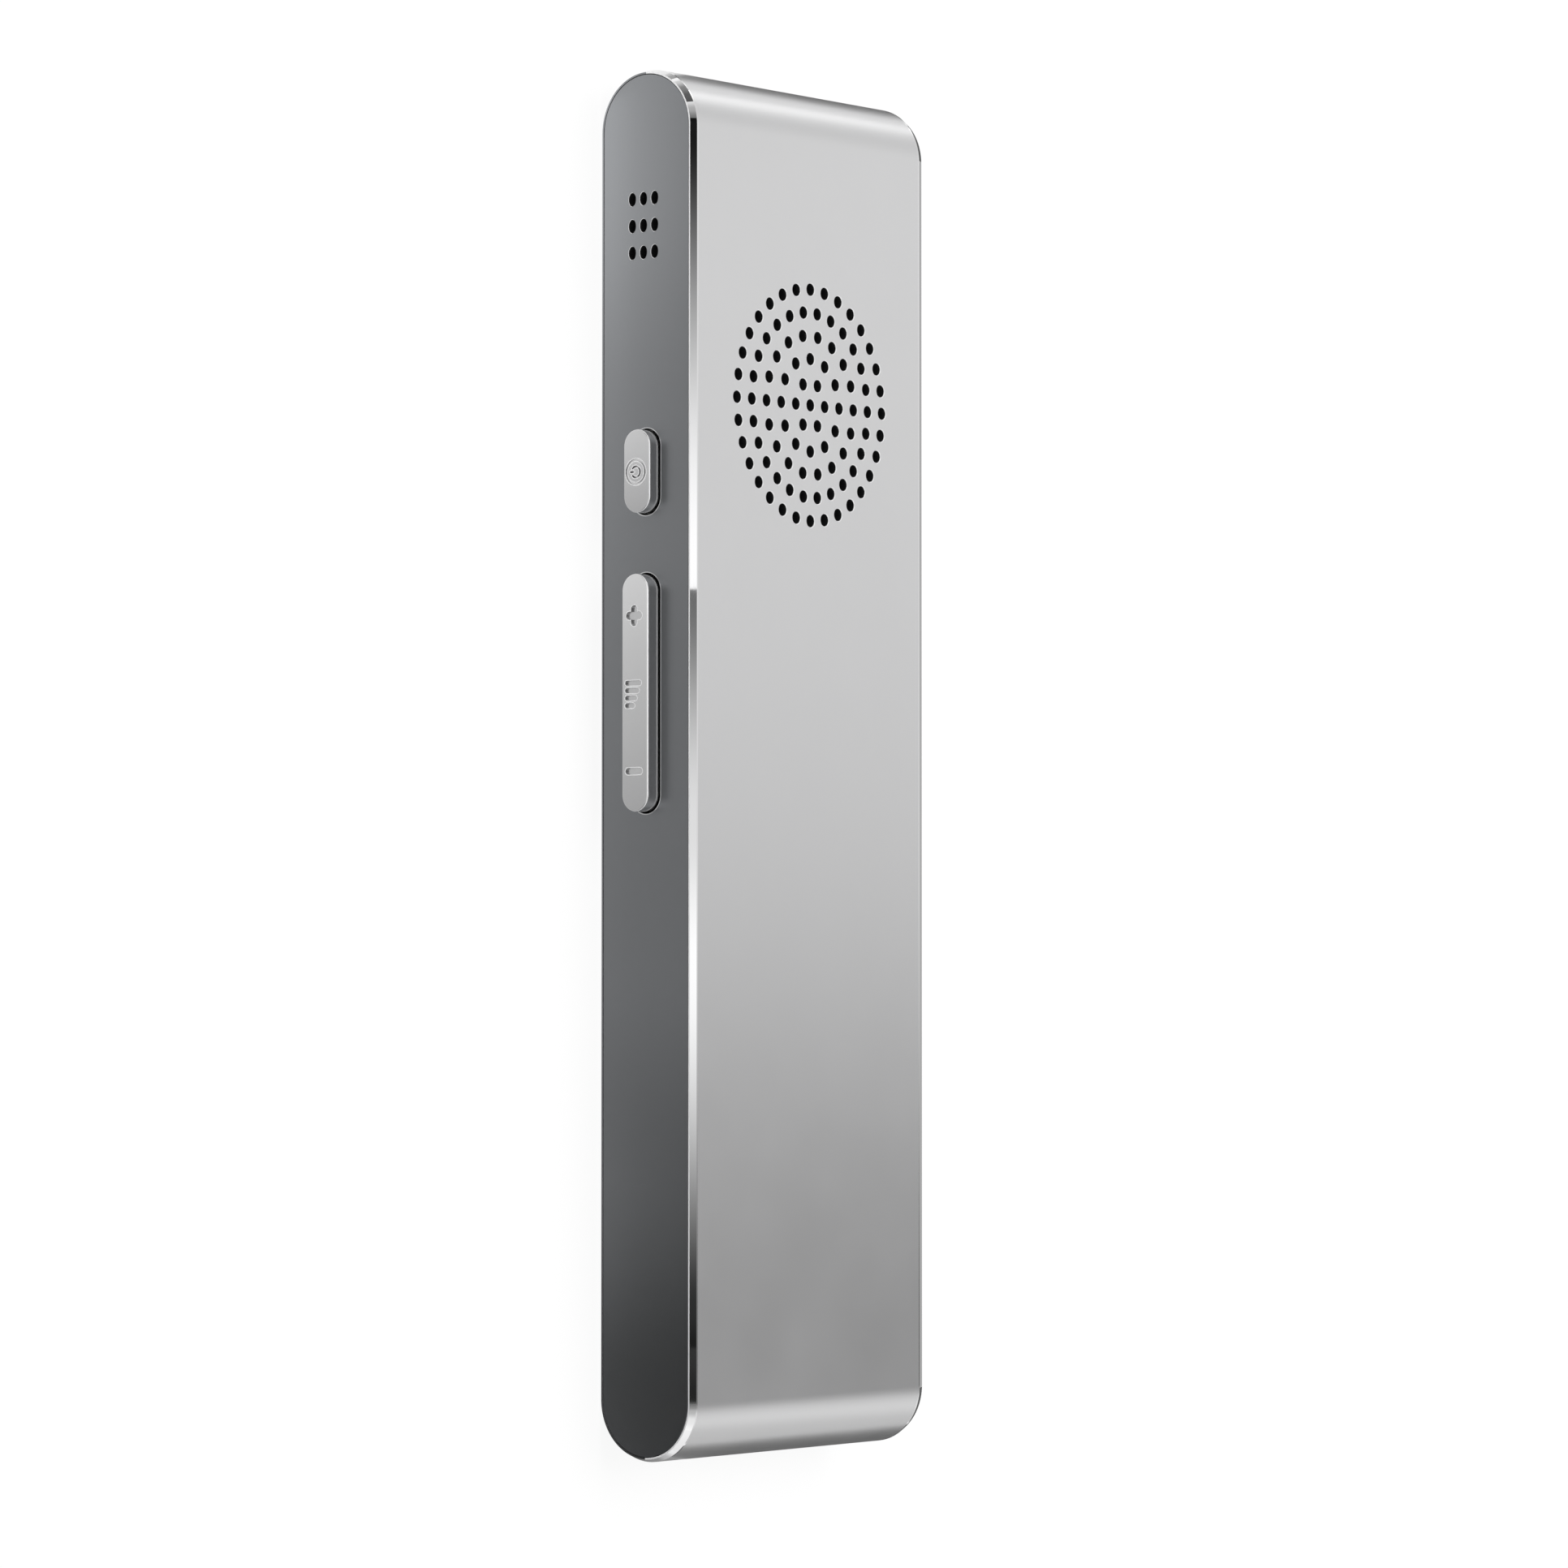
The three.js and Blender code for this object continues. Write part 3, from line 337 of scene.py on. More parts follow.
# Painted shade: the land's faces on the lower half of the control side take the dark finish.
for face in bm.faces:
    spot = face.calc_center_median()
    if spot.x < -half_width + weld and spot.z < mid_z:
        face.material_index = shaded_land
upright = Matrix.Identity(3)
grille_holes = []
for ring in range(grille_rings + 1):
    hole_count = max(1, 2 * round(math.pi * ring))
    for index in range(hole_count):
        angle = 2 * math.pi * index / hole_count
        across = ring * grille_pitch * math.cos(angle)
        along = grille_centre_y + ring * grille_pitch * math.sin(angle)
        drilled = ring_loops(bm, (across, along, 0), (
            (drilled_radius + drilled_edge, band_thickness),
            (drilled_radius, band_thickness - drilled_edge),
            (drilled_radius, inner_top_z),
        ), drilled_sides, upright)
        bridge(bm, drilled, (cut, bore))
        grille_holes.append(drilled)
fill(bm, [open_wall(bm, band_thickness)] + [drilled[0] for drilled in grille_holes], (0, 0, 1))
fill(bm, [open_wall(bm, inner_top_z)] + [drilled[-1] for drilled in grille_holes], (0, 0, -1), milled)
front_openings = [(y, talk_opening_radius) for y in talk_key_places]
front_openings.append((light_hole_y, light_hole_radius))
front_holes = []
for along, radius in front_openings:
    drilled = ring_loops(bm, (0, along, 0), (
        (radius + drilled_edge, 0),
        (radius, drilled_edge),
        (radius, band_wall),
    ), round_sides, upright)
    bridge(bm, drilled, (polished, milled))
    front_holes.append(drilled)
fill(bm, [open_wall(bm, 0)] + [drilled[0] for drilled in front_holes], (0, 0, -1))
fill(bm, [open_wall(bm, band_wall)] + [drilled[-1] for drilled in front_holes], (0, 0, 1), milled)
band = make_piece(bm, "band_shell", band_finishes)
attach(band, "housing")
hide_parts("body_band")

# Control side plate: a dark plate with a satin metallic finish, glued into the band's rebate.
# Two slots with a bright cut rim let the side keys through, and nine short slots lead to the microphone.
plate_inset = 0.53
plate_mid_z = mid_z - 0.03
plate_edge = 0.03
plate_outer_x = 19.25
plate_inner_x = 18.25
key_width = 3.4
slot_clearance = 0.2
slot_rim_width = 0.1
slot_rim_depth = 0.04
slot_arc_steps = 24
power_key_y = 29.75
power_key_length = 8.5
rocker_y = 7.15
rocker_length = 24.2
mic_y = 55
mic_z = 5.75
mic_pitch_along = 2.75
mic_pitch_across = 1.48
mic_hole_length = 1.4
mic_hole_width = 0.96
mic_hole_edge = 0.04
mic_hole_sides = 32
graphite_colour = (0.255, 0.262, 0.272)


def graphite():
    """Dark satin metallic finish with a fine, even sparkle."""
    material, shader = new_finish("graphite_plate")
    cloud = shader.noise(14, 3.0)
    fine = shader.noise(0.09)
    close_finish(shader, {
        "Base Color": toned(shader, cloud, graphite_colour, 0.97, 1.03),
        "Metallic": 0.93,
        "Roughness": 0.33 + (cloud - 0.5) * 0.04 + (fine - 0.5) * 0.08,
        "Normal": shader.bump(fine, 0.0015),
    })
    return material


def plate_loops(bm, side):
    """Loops of a side plate from its outer face to its inner face, joined."""
    loops = [
        racetrack(bm, side * x, band_length, band_thickness, -inset, 0, band_arc_steps, plate_mid_z)
        for x, inset in (
            (plate_outer_x, plate_inset + plate_edge),
            (plate_outer_x - plate_edge, plate_inset),
            (plate_inner_x, plate_inset),
        )
    ]
    bridge(bm, loops, (plate_skin, plate_skin))
    return loops


graphite_plate = graphite()
plate_rim = metal("plate_rim", (0.72, 0.725, 0.73), roughness=0.2, grain=0.2, depth=0.0004)
plate_finishes = (graphite_plate, plate_rim, cut_edge, bore_painted_shade)
plate_skin, slot_cut, hole_cut, hole_bore = range(len(plate_finishes))
bm = bmesh.new()
control_loops = plate_loops(bm, -1)
openings = []
for along, length in ((power_key_y, power_key_length), (rocker_y, rocker_length)):
    slot = [
        racetrack(bm, -x, length, key_width, room, along, slot_arc_steps)
        for x, room in (
            (plate_outer_x, slot_clearance + slot_rim_width),
            (plate_outer_x - slot_rim_depth, slot_clearance),
            (plate_inner_x, slot_clearance),
        )
    ]
    bridge(bm, slot, (slot_cut, hole_bore))
    openings.append(slot)
sideways = Matrix.Rotation(-math.pi / 2, 3, "Y")
for row in (-1, 0, 1):
    for column in (-1, 0, 1):
        hole_centre = Vector((0, mic_y + row * mic_pitch_along, mic_z + column * mic_pitch_across))
        hole = ring_loops(bm, hole_centre, (
            (mic_hole_length / 2 + mic_hole_edge, plate_outer_x),
            (mic_hole_length / 2, plate_outer_x - mic_hole_edge),
            (mic_hole_length / 2, plate_inner_x),
        ), mic_hole_sides, sideways)
        rim = list(dict.fromkeys(vert for loop in hole for edge in loop for vert in edge.verts))
        squeeze = (1, 1, mic_hole_width / mic_hole_length)
        bmesh.ops.scale(bm, vec=squeeze, space=Matrix.Translation(-hole_centre), verts=rim)
        bridge(bm, hole, (hole_cut, hole_bore))
        openings.append(hole)
fill(bm, [control_loops[0]] + [opening[0] for opening in openings], (-1, 0, 0))
fill(bm, [control_loops[-1]] + [opening[-1] for opening in openings], (1, 0, 0))
control_plate = make_piece(bm, "control_plate", plate_finishes)
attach(control_plate, "housing")
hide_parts("control_side_plate")

# Charging side plate: the same plate for the far side, clear to radio waves, glued into its rebate.
# Its one opening is cut with rounded corners and a bright rim for the charging plug.
port_y = 12
port_length = 9.2
port_height = 3.42
port_corner = 1.53
port_rim = 0.18
port_corner_steps = 12


def port_loop(bm, x, growth):
    """Loop of edges round the charging opening, grown all round: a rectangle with round corners."""
    radius = port_corner + growth
    reach_y = (port_length + 2 * growth) / 2 - radius
    reach_z = (port_height + 2 * growth) / 2 - radius
    arcs = []
    for side_y, side_z in ((1, 1), (1, -1), (-1, -1), (-1, 1)):
        corner = Vector((x, port_y + side_y * reach_y, mid_z + side_z * reach_z))
        starts_flat = side_y == side_z
        offset = Vector((0, 0, side_z * radius)) if starts_flat else Vector((0, side_y * radius, 0))
        arcs.append(swing(bm, corner + offset, corner, -math.pi / 2, port_corner_steps))
    return close_loop(bm, arcs)


bm = bmesh.new()
charging_loops = plate_loops(bm, 1)
port = [
    port_loop(bm, plate_outer_x, port_rim),
    port_loop(bm, plate_outer_x - port_rim, 0),
    port_loop(bm, plate_inner_x, 0),
]
bridge(bm, port, (slot_cut, plate_skin))
fill(bm, [charging_loops[0], port[0]], (1, 0, 0))
fill(bm, [charging_loops[-1], port[-1]], (-1, 0, 0))
charging_plate = make_piece(bm, "charging_plate", (graphite_plate, plate_rim))
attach(charging_plate, "housing")
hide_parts("charging_side_plate")

# Power key: an aluminium cap cut from one billet with its flange, satin on top, with a bright cut edge.
# A cut ring and a generic power sign are engraved in its face, and the nub behind it works the switch.
key_edge = 0.12
key_edge_steps = 2
flange_lip = 0.8
flange_thickness = 0.5
contact_x = -17.05
nub_radius = 0.8
power_face_x = -20.75
power_flange_back_x = -17.65
power_sign_y = power_key_y - 0.1
sign_z = mid_z - 0.13
sign_rim_width = 0.1
sign_rim_depth = 0.03
sign_depth = 0.3
sign_ring_outer = 1.34
sign_ring_inner = 1.12
sign_ring_depth = 0.12
sign_ring_sides = 48
sign_arc_radius = 0.56
sign_arc_steps = 36
sign_arc_end_steps = 6
sign_end_steps = 8
sign_line = 0.18
sign_gap_angle = math.radians(42)
sign_bar_reach = 0.76
key_colour = (0.79, 0.79, 0.795)
key_roughness = 0.24
key_unevenness = 0.05
key_grain = 0.09
key_grain_depth = 0.001
key_satin = metal("key_satin", key_colour, key_roughness, key_grain, key_grain_depth)
# Painted shade: the walls of the engraved signs and ring take a darker share of the key's colour, for the
# shade inside them.
recess_painted_shade = metal("recess_painted_shade", shade_of(key_colour, 0.45), roughness=0.38, grain=0.06, depth=0.002)
key_plain, key_top, key_cut, key_dark = range(4)


def distance_along(shader, axis):
    """Distance from the piece's origin along one axis, in metres."""
    return shader.node("ShaderNodeSeparateXYZ", {}, {"Vector": shader.place()}, axis)


def face_painted_fade(name, length, centre_y, near_share, far_share):
    """Satin face of a key, with painted shade and light. Its tone goes from one share to the other along
    the face, for the reflections that change along it.
    """
    material, shader = new_finish(name)
    cloud = shader.noise(cloud_size, cloud_detail)
    fine = shader.noise(key_grain)
    place = distance_along(shader, "Y") * (1 / (length * mm))
    share = place + (0.5 - centre_y / length) + (cloud - 0.5) * 0.1
    close_finish(shader, {
        "Base Color": toned(shader, share, key_colour, near_share, far_share),
        "Metallic": 1.0,
        "Roughness": key_roughness + (cloud - 0.5) * key_unevenness + (fine - 0.5) * key_unevenness,
        "Normal": shader.bump(fine, key_grain_depth),
    })
    return material


def key_body(bm, length, centre_y, face_x, flange_back_x, nub_places):
    """Key from its face's edge back to its nubs. Gives the open face's loop."""
    flange_front_x = flange_back_x - flange_thickness
    key_section = []
    for step in range(key_edge_steps + 1):
        angle = step / key_edge_steps * math.pi / 2
        inset = key_edge * (1 - math.sin(angle))
        key_section.append((face_x + key_edge * (1 - math.cos(angle)), -inset))
    key_section += [(flange_front_x, 0), (flange_front_x, flange_lip), (flange_back_x, flange_lip)]
    loops = [
        racetrack(bm, x, length, key_width, growth, centre_y, slot_arc_steps)
        for x, growth in key_section
    ]
    bridge(bm, loops, (key_top, key_cut, key_plain, key_plain, key_plain))
    nubs = [
        ring_loops(bm, (0, y, mid_z), (
            (nub_radius, -flange_back_x),
            (nub_radius, -contact_x),
        ), drilled_sides, sideways)
        for y in nub_places
    ]
    for nub in nubs:
        bridge(bm, nub, (key_plain,))
        fill(bm, [nub[-1]], (1, 0, 0))
    fill(bm, [loops[-1]] + [nub[0] for nub in nubs], (1, 0, 0))
    return loops[0]


def arc_loop(bm, x, growth):
    """Loop of edges round the power sign's thick arc with round ends, open by a gap on the -Z side."""
    half_line = sign_line / 2 + growth
    centre = Vector((x, power_sign_y, sign_z))
    sweep = 2 * math.pi - 2 * sign_gap_angle
    opening = Matrix.Rotation(sign_gap_angle, 3, "X")
    down = Vector((0, 0, -1))
    tip = centre + opening @ (down * sign_arc_radius)
    far_tip = centre + opening.inverted() @ (down * sign_arc_radius)
    outer = tip + opening @ (down * half_line)
    start = bm.verts.new(outer)
    current = start
    before = len(bm.edges)
    for pivot, angle, steps in (
        (centre, sweep, sign_arc_steps),
        (far_tip, math.pi, sign_arc_end_steps),
        (centre, -sweep, sign_arc_steps),
        (tip, math.pi, sign_arc_end_steps),
    ):
        turned = bmesh.ops.spin(
            bm, geom=[current], cent=pivot, axis=(1, 0, 0), angle=angle, steps=steps, use_merge=False
        )
        current = turned["geom_last"][0]
    bmesh.ops.pointmerge(bm, verts=[current, start], merge_co=outer)
    bm.edges.ensure_lookup_table()
    return list(bm.edges[before:])


def bar_loop(bm, x, growth, centre_y, low_z, high_z, width):
    """Loop of edges round a bar that lies along Z, with round ends, grown all round."""
    radius = (width + 2 * growth) / 2
    arcs = []
    for z, side in ((high_z + growth - radius, 1), (low_z - growth + radius, -1)):
        pivot = Vector((x, centre_y, z))
        arcs.append(swing(bm, pivot + Vector((0, side * radius, 0)), pivot, math.pi, sign_end_steps))
    return close_loop(bm, arcs)


def engrave(bm, face_x, outline):
    """Sinks a sign into a face that looks to -X. outline(x, growth) draws its loop, grown by a rim."""
    loops = [
        outline(face_x, sign_rim_width),
        outline(face_x + sign_rim_depth, 0),
        outline(face_x + sign_depth, 0),
    ]
    bridge(bm, loops, (key_cut, key_dark))
    fill(bm, [loops[-1]], (-1, 0, 0))
    return loops[0]


bm = bmesh.new()
power_face = key_body(
    bm, power_key_length, power_key_y, power_face_x, power_flange_back_x, (power_key_y,)
)
outer_wall, inner_wall = [
    ring_loops(bm, Vector((0, power_sign_y, sign_z)), (
        (radius + growth, -power_face_x),
        (radius, -power_face_x - sign_rim_depth),
        (radius, -power_face_x - sign_ring_depth),
    ), sign_ring_sides, sideways)
    for radius, growth in ((sign_ring_outer, sign_rim_width), (sign_ring_inner, -sign_rim_width))
]
for wall in (outer_wall, inner_wall):
    bridge(bm, wall, (key_cut, key_dark))
fill(bm, [outer_wall[-1], inner_wall[-1]], (-1, 0, 0))
sign_arc = engrave(bm, power_face_x, lambda x, growth: arc_loop(bm, x, growth))
sign_bar = engrave(bm, power_face_x, lambda x, growth: bar_loop(
    bm, x, growth, power_sign_y, sign_z - sign_bar_reach, sign_z - sign_line, sign_line
))
fill(bm, [power_face, outer_wall[0]], (-1, 0, 0), key_top)
fill(bm, [inner_wall[0], sign_arc, sign_bar], (-1, 0, 0), key_top)
# Painted shade and light: the power key's face is darker towards its -Y end and lighter towards its +Y
# end.
power_satin_painted_fade = face_painted_fade(
    "power_key_face_painted_fade", power_key_length, power_key_y, near_share=0.74, far_share=1.04
)
power_key = make_piece(bm, "power_button", (key_satin, power_satin_painted_fade, cut_edge, recess_painted_shade))
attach(power_key, "power_unit")
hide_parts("power_key")

# Volume rocker: a long key of the same make that tips on a rib behind its flange.
# A plus, four bars that grow and a minus are engraved in its face, and two nubs work the switches.
rocker_face_x = -21.0
rocker_flange_back_x = -17.3
rocker_arm = 9
plus_y = 14.99
plus_reach = 0.66
plus_half_line = 0.4
minus_y = -0.85
minus_half_length = 1.12
minus_line = 0.66
bars_y = 6.98
bars_pitch = 0.762
bar_line = 0.5
bar_low_z = mid_z - 1.31
bar_lengths = (2.15, 1.88, 1.6, 1.28)


def plus_loop(bm, x, growth):
    """Loop of edges round a plus whose four arms have round ends, its lines grown."""
    half_line = plus_half_line + growth
    centre = Vector((x, plus_y, sign_z))
    ring = []
    corners = []
    for quarter in range(4):
        turn = Matrix.Rotation(quarter * math.pi / 2, 3, "X")
        tip = centre + turn @ Vector((0, 0, plus_reach))
        first = centre + turn @ Vector((0, half_line, plus_reach))
        start, end, edges = swing(bm, first, tip, math.pi, sign_end_steps)
        ring += edges
        notch = bm.verts.new(centre + turn @ Vector((0, -half_line, half_line)))
        corners.append((start, end, notch))
    for index, (_, end, notch) in enumerate(corners):
        next_start = corners[(index + 1) % len(corners)][0]
        ring.append(bm.edges.new((end, notch)))
        ring.append(bm.edges.new((notch, next_start)))
    return ring


bm = bmesh.new()
rocker_face = key_body(bm, rocker_length, rocker_y, rocker_face_x, rocker_flange_back_x, (
    rocker_y - rocker_arm,
    rocker_y + rocker_arm,
))
rocker_signs = [engrave(bm, rocker_face_x, lambda x, growth: plus_loop(bm, x, growth))]
for index, length in enumerate(bar_lengths):
    bar_y = bars_y + ((len(bar_lengths) - 1) / 2 - index) * bars_pitch
    rocker_signs.append(engrave(bm, rocker_face_x, lambda x, growth: bar_loop(
        bm, x, growth, bar_y, bar_low_z, bar_low_z + length, bar_line
    )))
rocker_signs.append(engrave(bm, rocker_face_x, lambda x, growth: bar_loop(
    bm, x, growth, minus_y, sign_z - minus_half_length, sign_z + minus_half_length, minus_line
)))
fill(bm, [rocker_face] + rocker_signs, (-1, 0, 0), key_top)
# Painted shade and light: the rocker's face is darker towards its -Y end and lighter towards its +Y end.
rocker_satin_painted_fade = face_painted_fade("rocker_face", rocker_length, rocker_y, near_share=0.85, far_share=1.26)
rocker = make_piece(bm, "volume_key", (key_satin, rocker_satin_painted_fade, cut_edge, recess_painted_shade))
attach(rocker, "rocker_unit")
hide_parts("volume_rocker")

# Talk keys: two round aluminium keys on the front face, one for each language, turned in one piece.
# Each has a shallow dish for the thumb, a bright cut edge and a flange that holds it behind the wall;
# one dimple marks the first key and two mark the second.
talk_radius = 6.8
talk_sink = 0.2
talk_edge = 0.25
talk_dish = 0.28
talk_flange_radius = 7.6
talk_flange_z = 1.3
talk_contact_z = 2.52
dish_steps = 8
dish_radius = talk_radius - talk_edge
dish_floor_radius = dish_radius / 2
dish_floor_z = talk_sink + talk_dish
dimple_radius = 0.45
dimple_depth = 0.2
dimple_spread = 1.1
dimple_shares = ((1, 0), (0.8, 0.6), (0.4, 1))
dished = metal("dished_aluminium", key_colour, roughness=0.3, grain=0.1, depth=0.0016)
talk_finishes = (dished, polished_aluminium)
talk_skin, talk_cut = range(len(talk_finishes))

for name, along, dimples in (
    ("upper", talk_key_places[0], (0,)),
    ("lower", talk_key_places[1], (-1, 1)),
):
    dish = [(dish_floor_radius, dish_floor_z)]
    for step in range(1, dish_steps + 1):
        share = step / dish_steps
        rise = (1 + math.cos(share * math.pi)) / 2
        ring_radius = dish_floor_radius + share * (dish_radius - dish_floor_radius)
        dish.append((ring_radius, talk_sink + talk_dish * rise))
    flange = [
        (talk_radius, talk_sink + talk_edge),
        (talk_radius, talk_flange_z),
        (talk_flange_radius, talk_flange_z),
        (talk_flange_radius, talk_flange_z + flange_thickness),
        (nub_radius, talk_flange_z + flange_thickness),
        (nub_radius, talk_contact_z),
    ]
    bm = bmesh.new()
    rings = ring_loops(bm, (0, along, 0), dish + flange, round_sides, upright)
    bridge(bm, rings, [talk_skin] * dish_steps + [talk_cut] + [talk_skin] * (len(flange) - 1))
    fill(bm, [rings[-1]], (0, 0, 1))
    marks = []
    for side in dimples:
        mark = ring_loops(bm, (side * dimple_spread, along, 0), [
            (dimple_radius * width_share, dish_floor_z + dimple_depth * depth_share)
            for width_share, depth_share in dimple_shares
        ], drilled_sides, upright)
        bridge(bm, mark, (talk_cut, talk_cut))
        fill(bm, [mark[-1]], (0, 0, -1), talk_cut)
        marks.append(mark[0])
    fill(bm, [rings[0]] + marks, (0, 0, -1))
    talk_key = make_piece(bm, "talk_button_" + name, talk_finishes)
    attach(talk_key, f"talk_{name}_unit")
    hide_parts(f"talk_key_{name}")

# Adhesive rings: black foam tape, sticky on both faces, die-cut to the outline of the side plates.
# They hold the plates on the band's ledges and seal them.


def moulded(name, colour, roughness, grain, depth, **extra):
    """Moulded plastic or rubber with a fine spark-eroded skin."""
    material, shader = new_finish(name)
    cloud = shader.noise(6, 3.0)
    fine = shader.noise(grain, 3.0)
    close_finish(shader, {
        "Base Color": toned(shader, cloud, colour, 0.9, 1.1),
        "Roughness": roughness + (fine - 0.5) * 0.15,
        "Normal": shader.bump(fine, depth),
        **extra,
    })
    return material


def dress(material, *names):
    """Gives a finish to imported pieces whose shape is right."""
    for name in names:
        mesh = nodes[name].data
        mesh.materials.clear()
        mesh.materials.append(material)


foam_tape = moulded("foam_tape", (0.018, 0.018, 0.019), roughness=0.8, grain=0.25, depth=0.02)
dress(foam_tape, "control_plate_seal", "charging_plate_seal")

# Push switches: five small switches in black moulded nylon, soldered to the strip circuit and the board.
# Each has a white acetal plunger over a snap dome, which a key's nub presses.
nylon = moulded("switch_nylon", (0.03, 0.03, 0.032), roughness=0.5, grain=0.3, depth=0.006)
acetal = moulded("plunger_acetal", (0.8, 0.79, 0.76), roughness=0.4, grain=0.4, depth=0.003)
for kind, material in (("switch", nylon), ("plunger", acetal)):
    dress(material, f"power_{kind}", f"volume_up_{kind}", f"volume_down_{kind}")
    dress(material, f"talk_{kind}_upper", f"talk_{kind}_lower")

# Strip circuit: amber polyimide film with copper tracks, which carries the side switches and microphone.
# Antenna strip: the same film with a printed radiator, stuck to the carrier behind the charging plate.
film_colour = (0.42, 0.19, 0.04)
copper_colour = (0.62, 0.3, 0.14)


def wave(shader, axis, pitch):
    """Sine wave from -1 to 1 along an axis, with a pitch."""
    turn = distance_along(shader, axis) * (2 * math.pi / (pitch * mm))
    return shader.node("ShaderNodeMath", {"operation": "SINE"}, {0: turn})


def tracked_film(name, pitch):
    """Amber film over copper tracks that run along Y."""
    material, shader = new_finish(name)
    track = wave(shader, "Z", pitch) > 0.2
    fine = shader.noise(0.5)
    close_finish(shader, {
        "Base Color": shader.tint(track, film_colour, copper_colour),
        "Metallic": track * 0.4,
        "Roughness": 0.32 + (fine - 0.5) * 0.1,
        "Normal": shader.bump(track + fine * 0.2, 0.01),
    })
    return material


dress(tracked_film("switch_film", pitch=0.5), "key_flex")
dress(tracked_film("antenna_film", pitch=1.1), "antenna_strip")

# Key bracket: a stamped stainless strip that backs the side switches and carries the rocker's rib.
# The shield can and the radio module's lid are tin-plated steel of the same rolled sheet.
rolled_steel = metal(
    "rolled_steel", (0.56, 0.57, 0.58), roughness=0.34, grain=0.25, depth=0.003,
    stretch=(1, 20, 1), unevenness=0.12,
)
tinned_steel = metal(
    "tinned_steel", (0.66, 0.67, 0.67), roughness=0.42, grain=0.6, depth=0.004, unevenness=0.18
)
dress(rolled_steel, "key_bracket")
dress(tinned_steel, "shield_can", "radio_module")

# Microphone: a metal capsule, the rubber boot that leads the sound to it, and an acoustic mesh before it.
# Loudspeaker: a dust mesh, foam gasket, pressed basket, magnet and paper cone, glued under the grille.


def woven(name, colour, pitch):
    """Fine woven mesh seen from a step away: crossing threads along the axes."""
    material, shader = new_finish(name)
    x_wave, y_wave, z_wave = [wave(shader, axis, pitch) for axis in "XYZ"]
    thread = (x_wave * y_wave + y_wave * z_wave + x_wave * z_wave) * 0.3 + 0.5
    close_finish(shader, {
        "Base Color": toned(shader, thread, colour, 0.5, 1.5),
        "Roughness": 0.7 - thread * 0.2,
        "Normal": shader.bump(thread, 0.03),
    })
    return material


acoustic_mesh = woven("acoustic_mesh", (0.022, 0.022, 0.024), pitch=0.3)
soft_rubber = moulded("soft_rubber", (0.02, 0.02, 0.021), roughness=0.75, grain=0.4, depth=0.01)
pressed_steel = metal(
    "pressed_steel", (0.5, 0.5, 0.51), roughness=0.4, grain=0.4, depth=0.004, unevenness=0.1
)
pressed_paper = moulded("pressed_paper", (0.045, 0.042, 0.04), roughness=0.85, grain=0.35, depth=0.03)
dress(acoustic_mesh, "microphone_mesh", "speaker_mesh")
dress(soft_rubber, "microphone_boot", "speaker_gasket")
dress(pressed_steel, "microphone_capsule", "speaker_basket", "speaker_magnet")
dress(pressed_paper, "speaker_cone")

# Leads: copper wire in soft PVC sleeves, two for the loudspeaker and two for the battery.
# Red is the positive side and black the negative side.
red_sleeve = moulded("red_sleeve", (0.42, 0.022, 0.015), roughness=0.45, grain=0.5, depth=0.004)
black_sleeve = moulded("black_sleeve", (0.02, 0.02, 0.022), roughness=0.45, grain=0.5, depth=0.004)
dress(red_sleeve, "speaker_lead_right", "battery_lead_positive")
dress(black_sleeve, "speaker_lead_left", "battery_lead_negative")

# Charging socket: a deep-drawn steel shell round a black moulded tongue.
# It is soldered to the main board behind the opening of the charging side plate.
tongue_nylon = moulded("tongue_nylon", (0.02, 0.02, 0.021), roughness=0.42, grain=0.2, depth=0.004)
dress(rolled_steel, "charging_socket_shell")
dress(tongue_nylon, "charging_socket_tongue")

# Main board: glass-fibre board under green solder mask, with gold pads, screwed to the carrier frame.
# The battery's small guard board is made of the same.
mask_colour = (0.012, 0.085, 0.04)
pad_colour = (0.7, 0.52, 0.22)
pad_pitch = 1.6
pad_reach = 0.16
track_reach = 0.06


def board_mask(name):
    """Green mask over raised tracks, with a sprinkle of bare gold pads."""
    material, shader = new_finish(name)
    cells = {"Vector": shader.place(), "Scale": 1 / (pad_pitch * mm)}
    spot = shader.node("ShaderNodeTexVoronoi", {"distance": "CHEBYCHEV"}, cells, "Distance")
    border = shader.node("ShaderNodeTexVoronoi", {"feature": "DISTANCE_TO_EDGE"}, cells, "Distance")
    pad = 1 - (spot > pad_reach)
    track = 1 - (border > track_reach)
    masked = toned(shader, track, mask_colour, 1.0, 1.9)
    close_finish(shader, {
        "Base Color": shader.tint(pad, masked, pad_colour),
        "Metallic": pad * 0.9,
        "Roughness": 0.38 - pad * 0.1,
        "Normal": shader.bump(track + pad, 0.02),
    })
    return material


dress(board_mask("solder_mask"), "main_board", "battery_guard_board")

# Chips: processor, memory and audio amplifier, soldered to the main board.
# Their cases are black moulded resin, matt from the mould.
chip_resin = moulded("chip_resin", (0.026, 0.026, 0.028), roughness=0.55, grain=0.15, depth=0.006)
dress(chip_resin, "processor", "memory_chip", "audio_amplifier")

# Board screws: four turned steel screws, zinc-plated.
# They clamp the main board to the carrier frame.
plated_steel = metal(
    "plated_steel", (0.6, 0.61, 0.63), roughness=0.28, grain=0.2, depth=0.003,
    stretch=(1, 1, 8), unevenness=0.1,
)
dress(plated_steel, "board_screw_1", "board_screw_2", "board_screw_3", "board_screw_4")

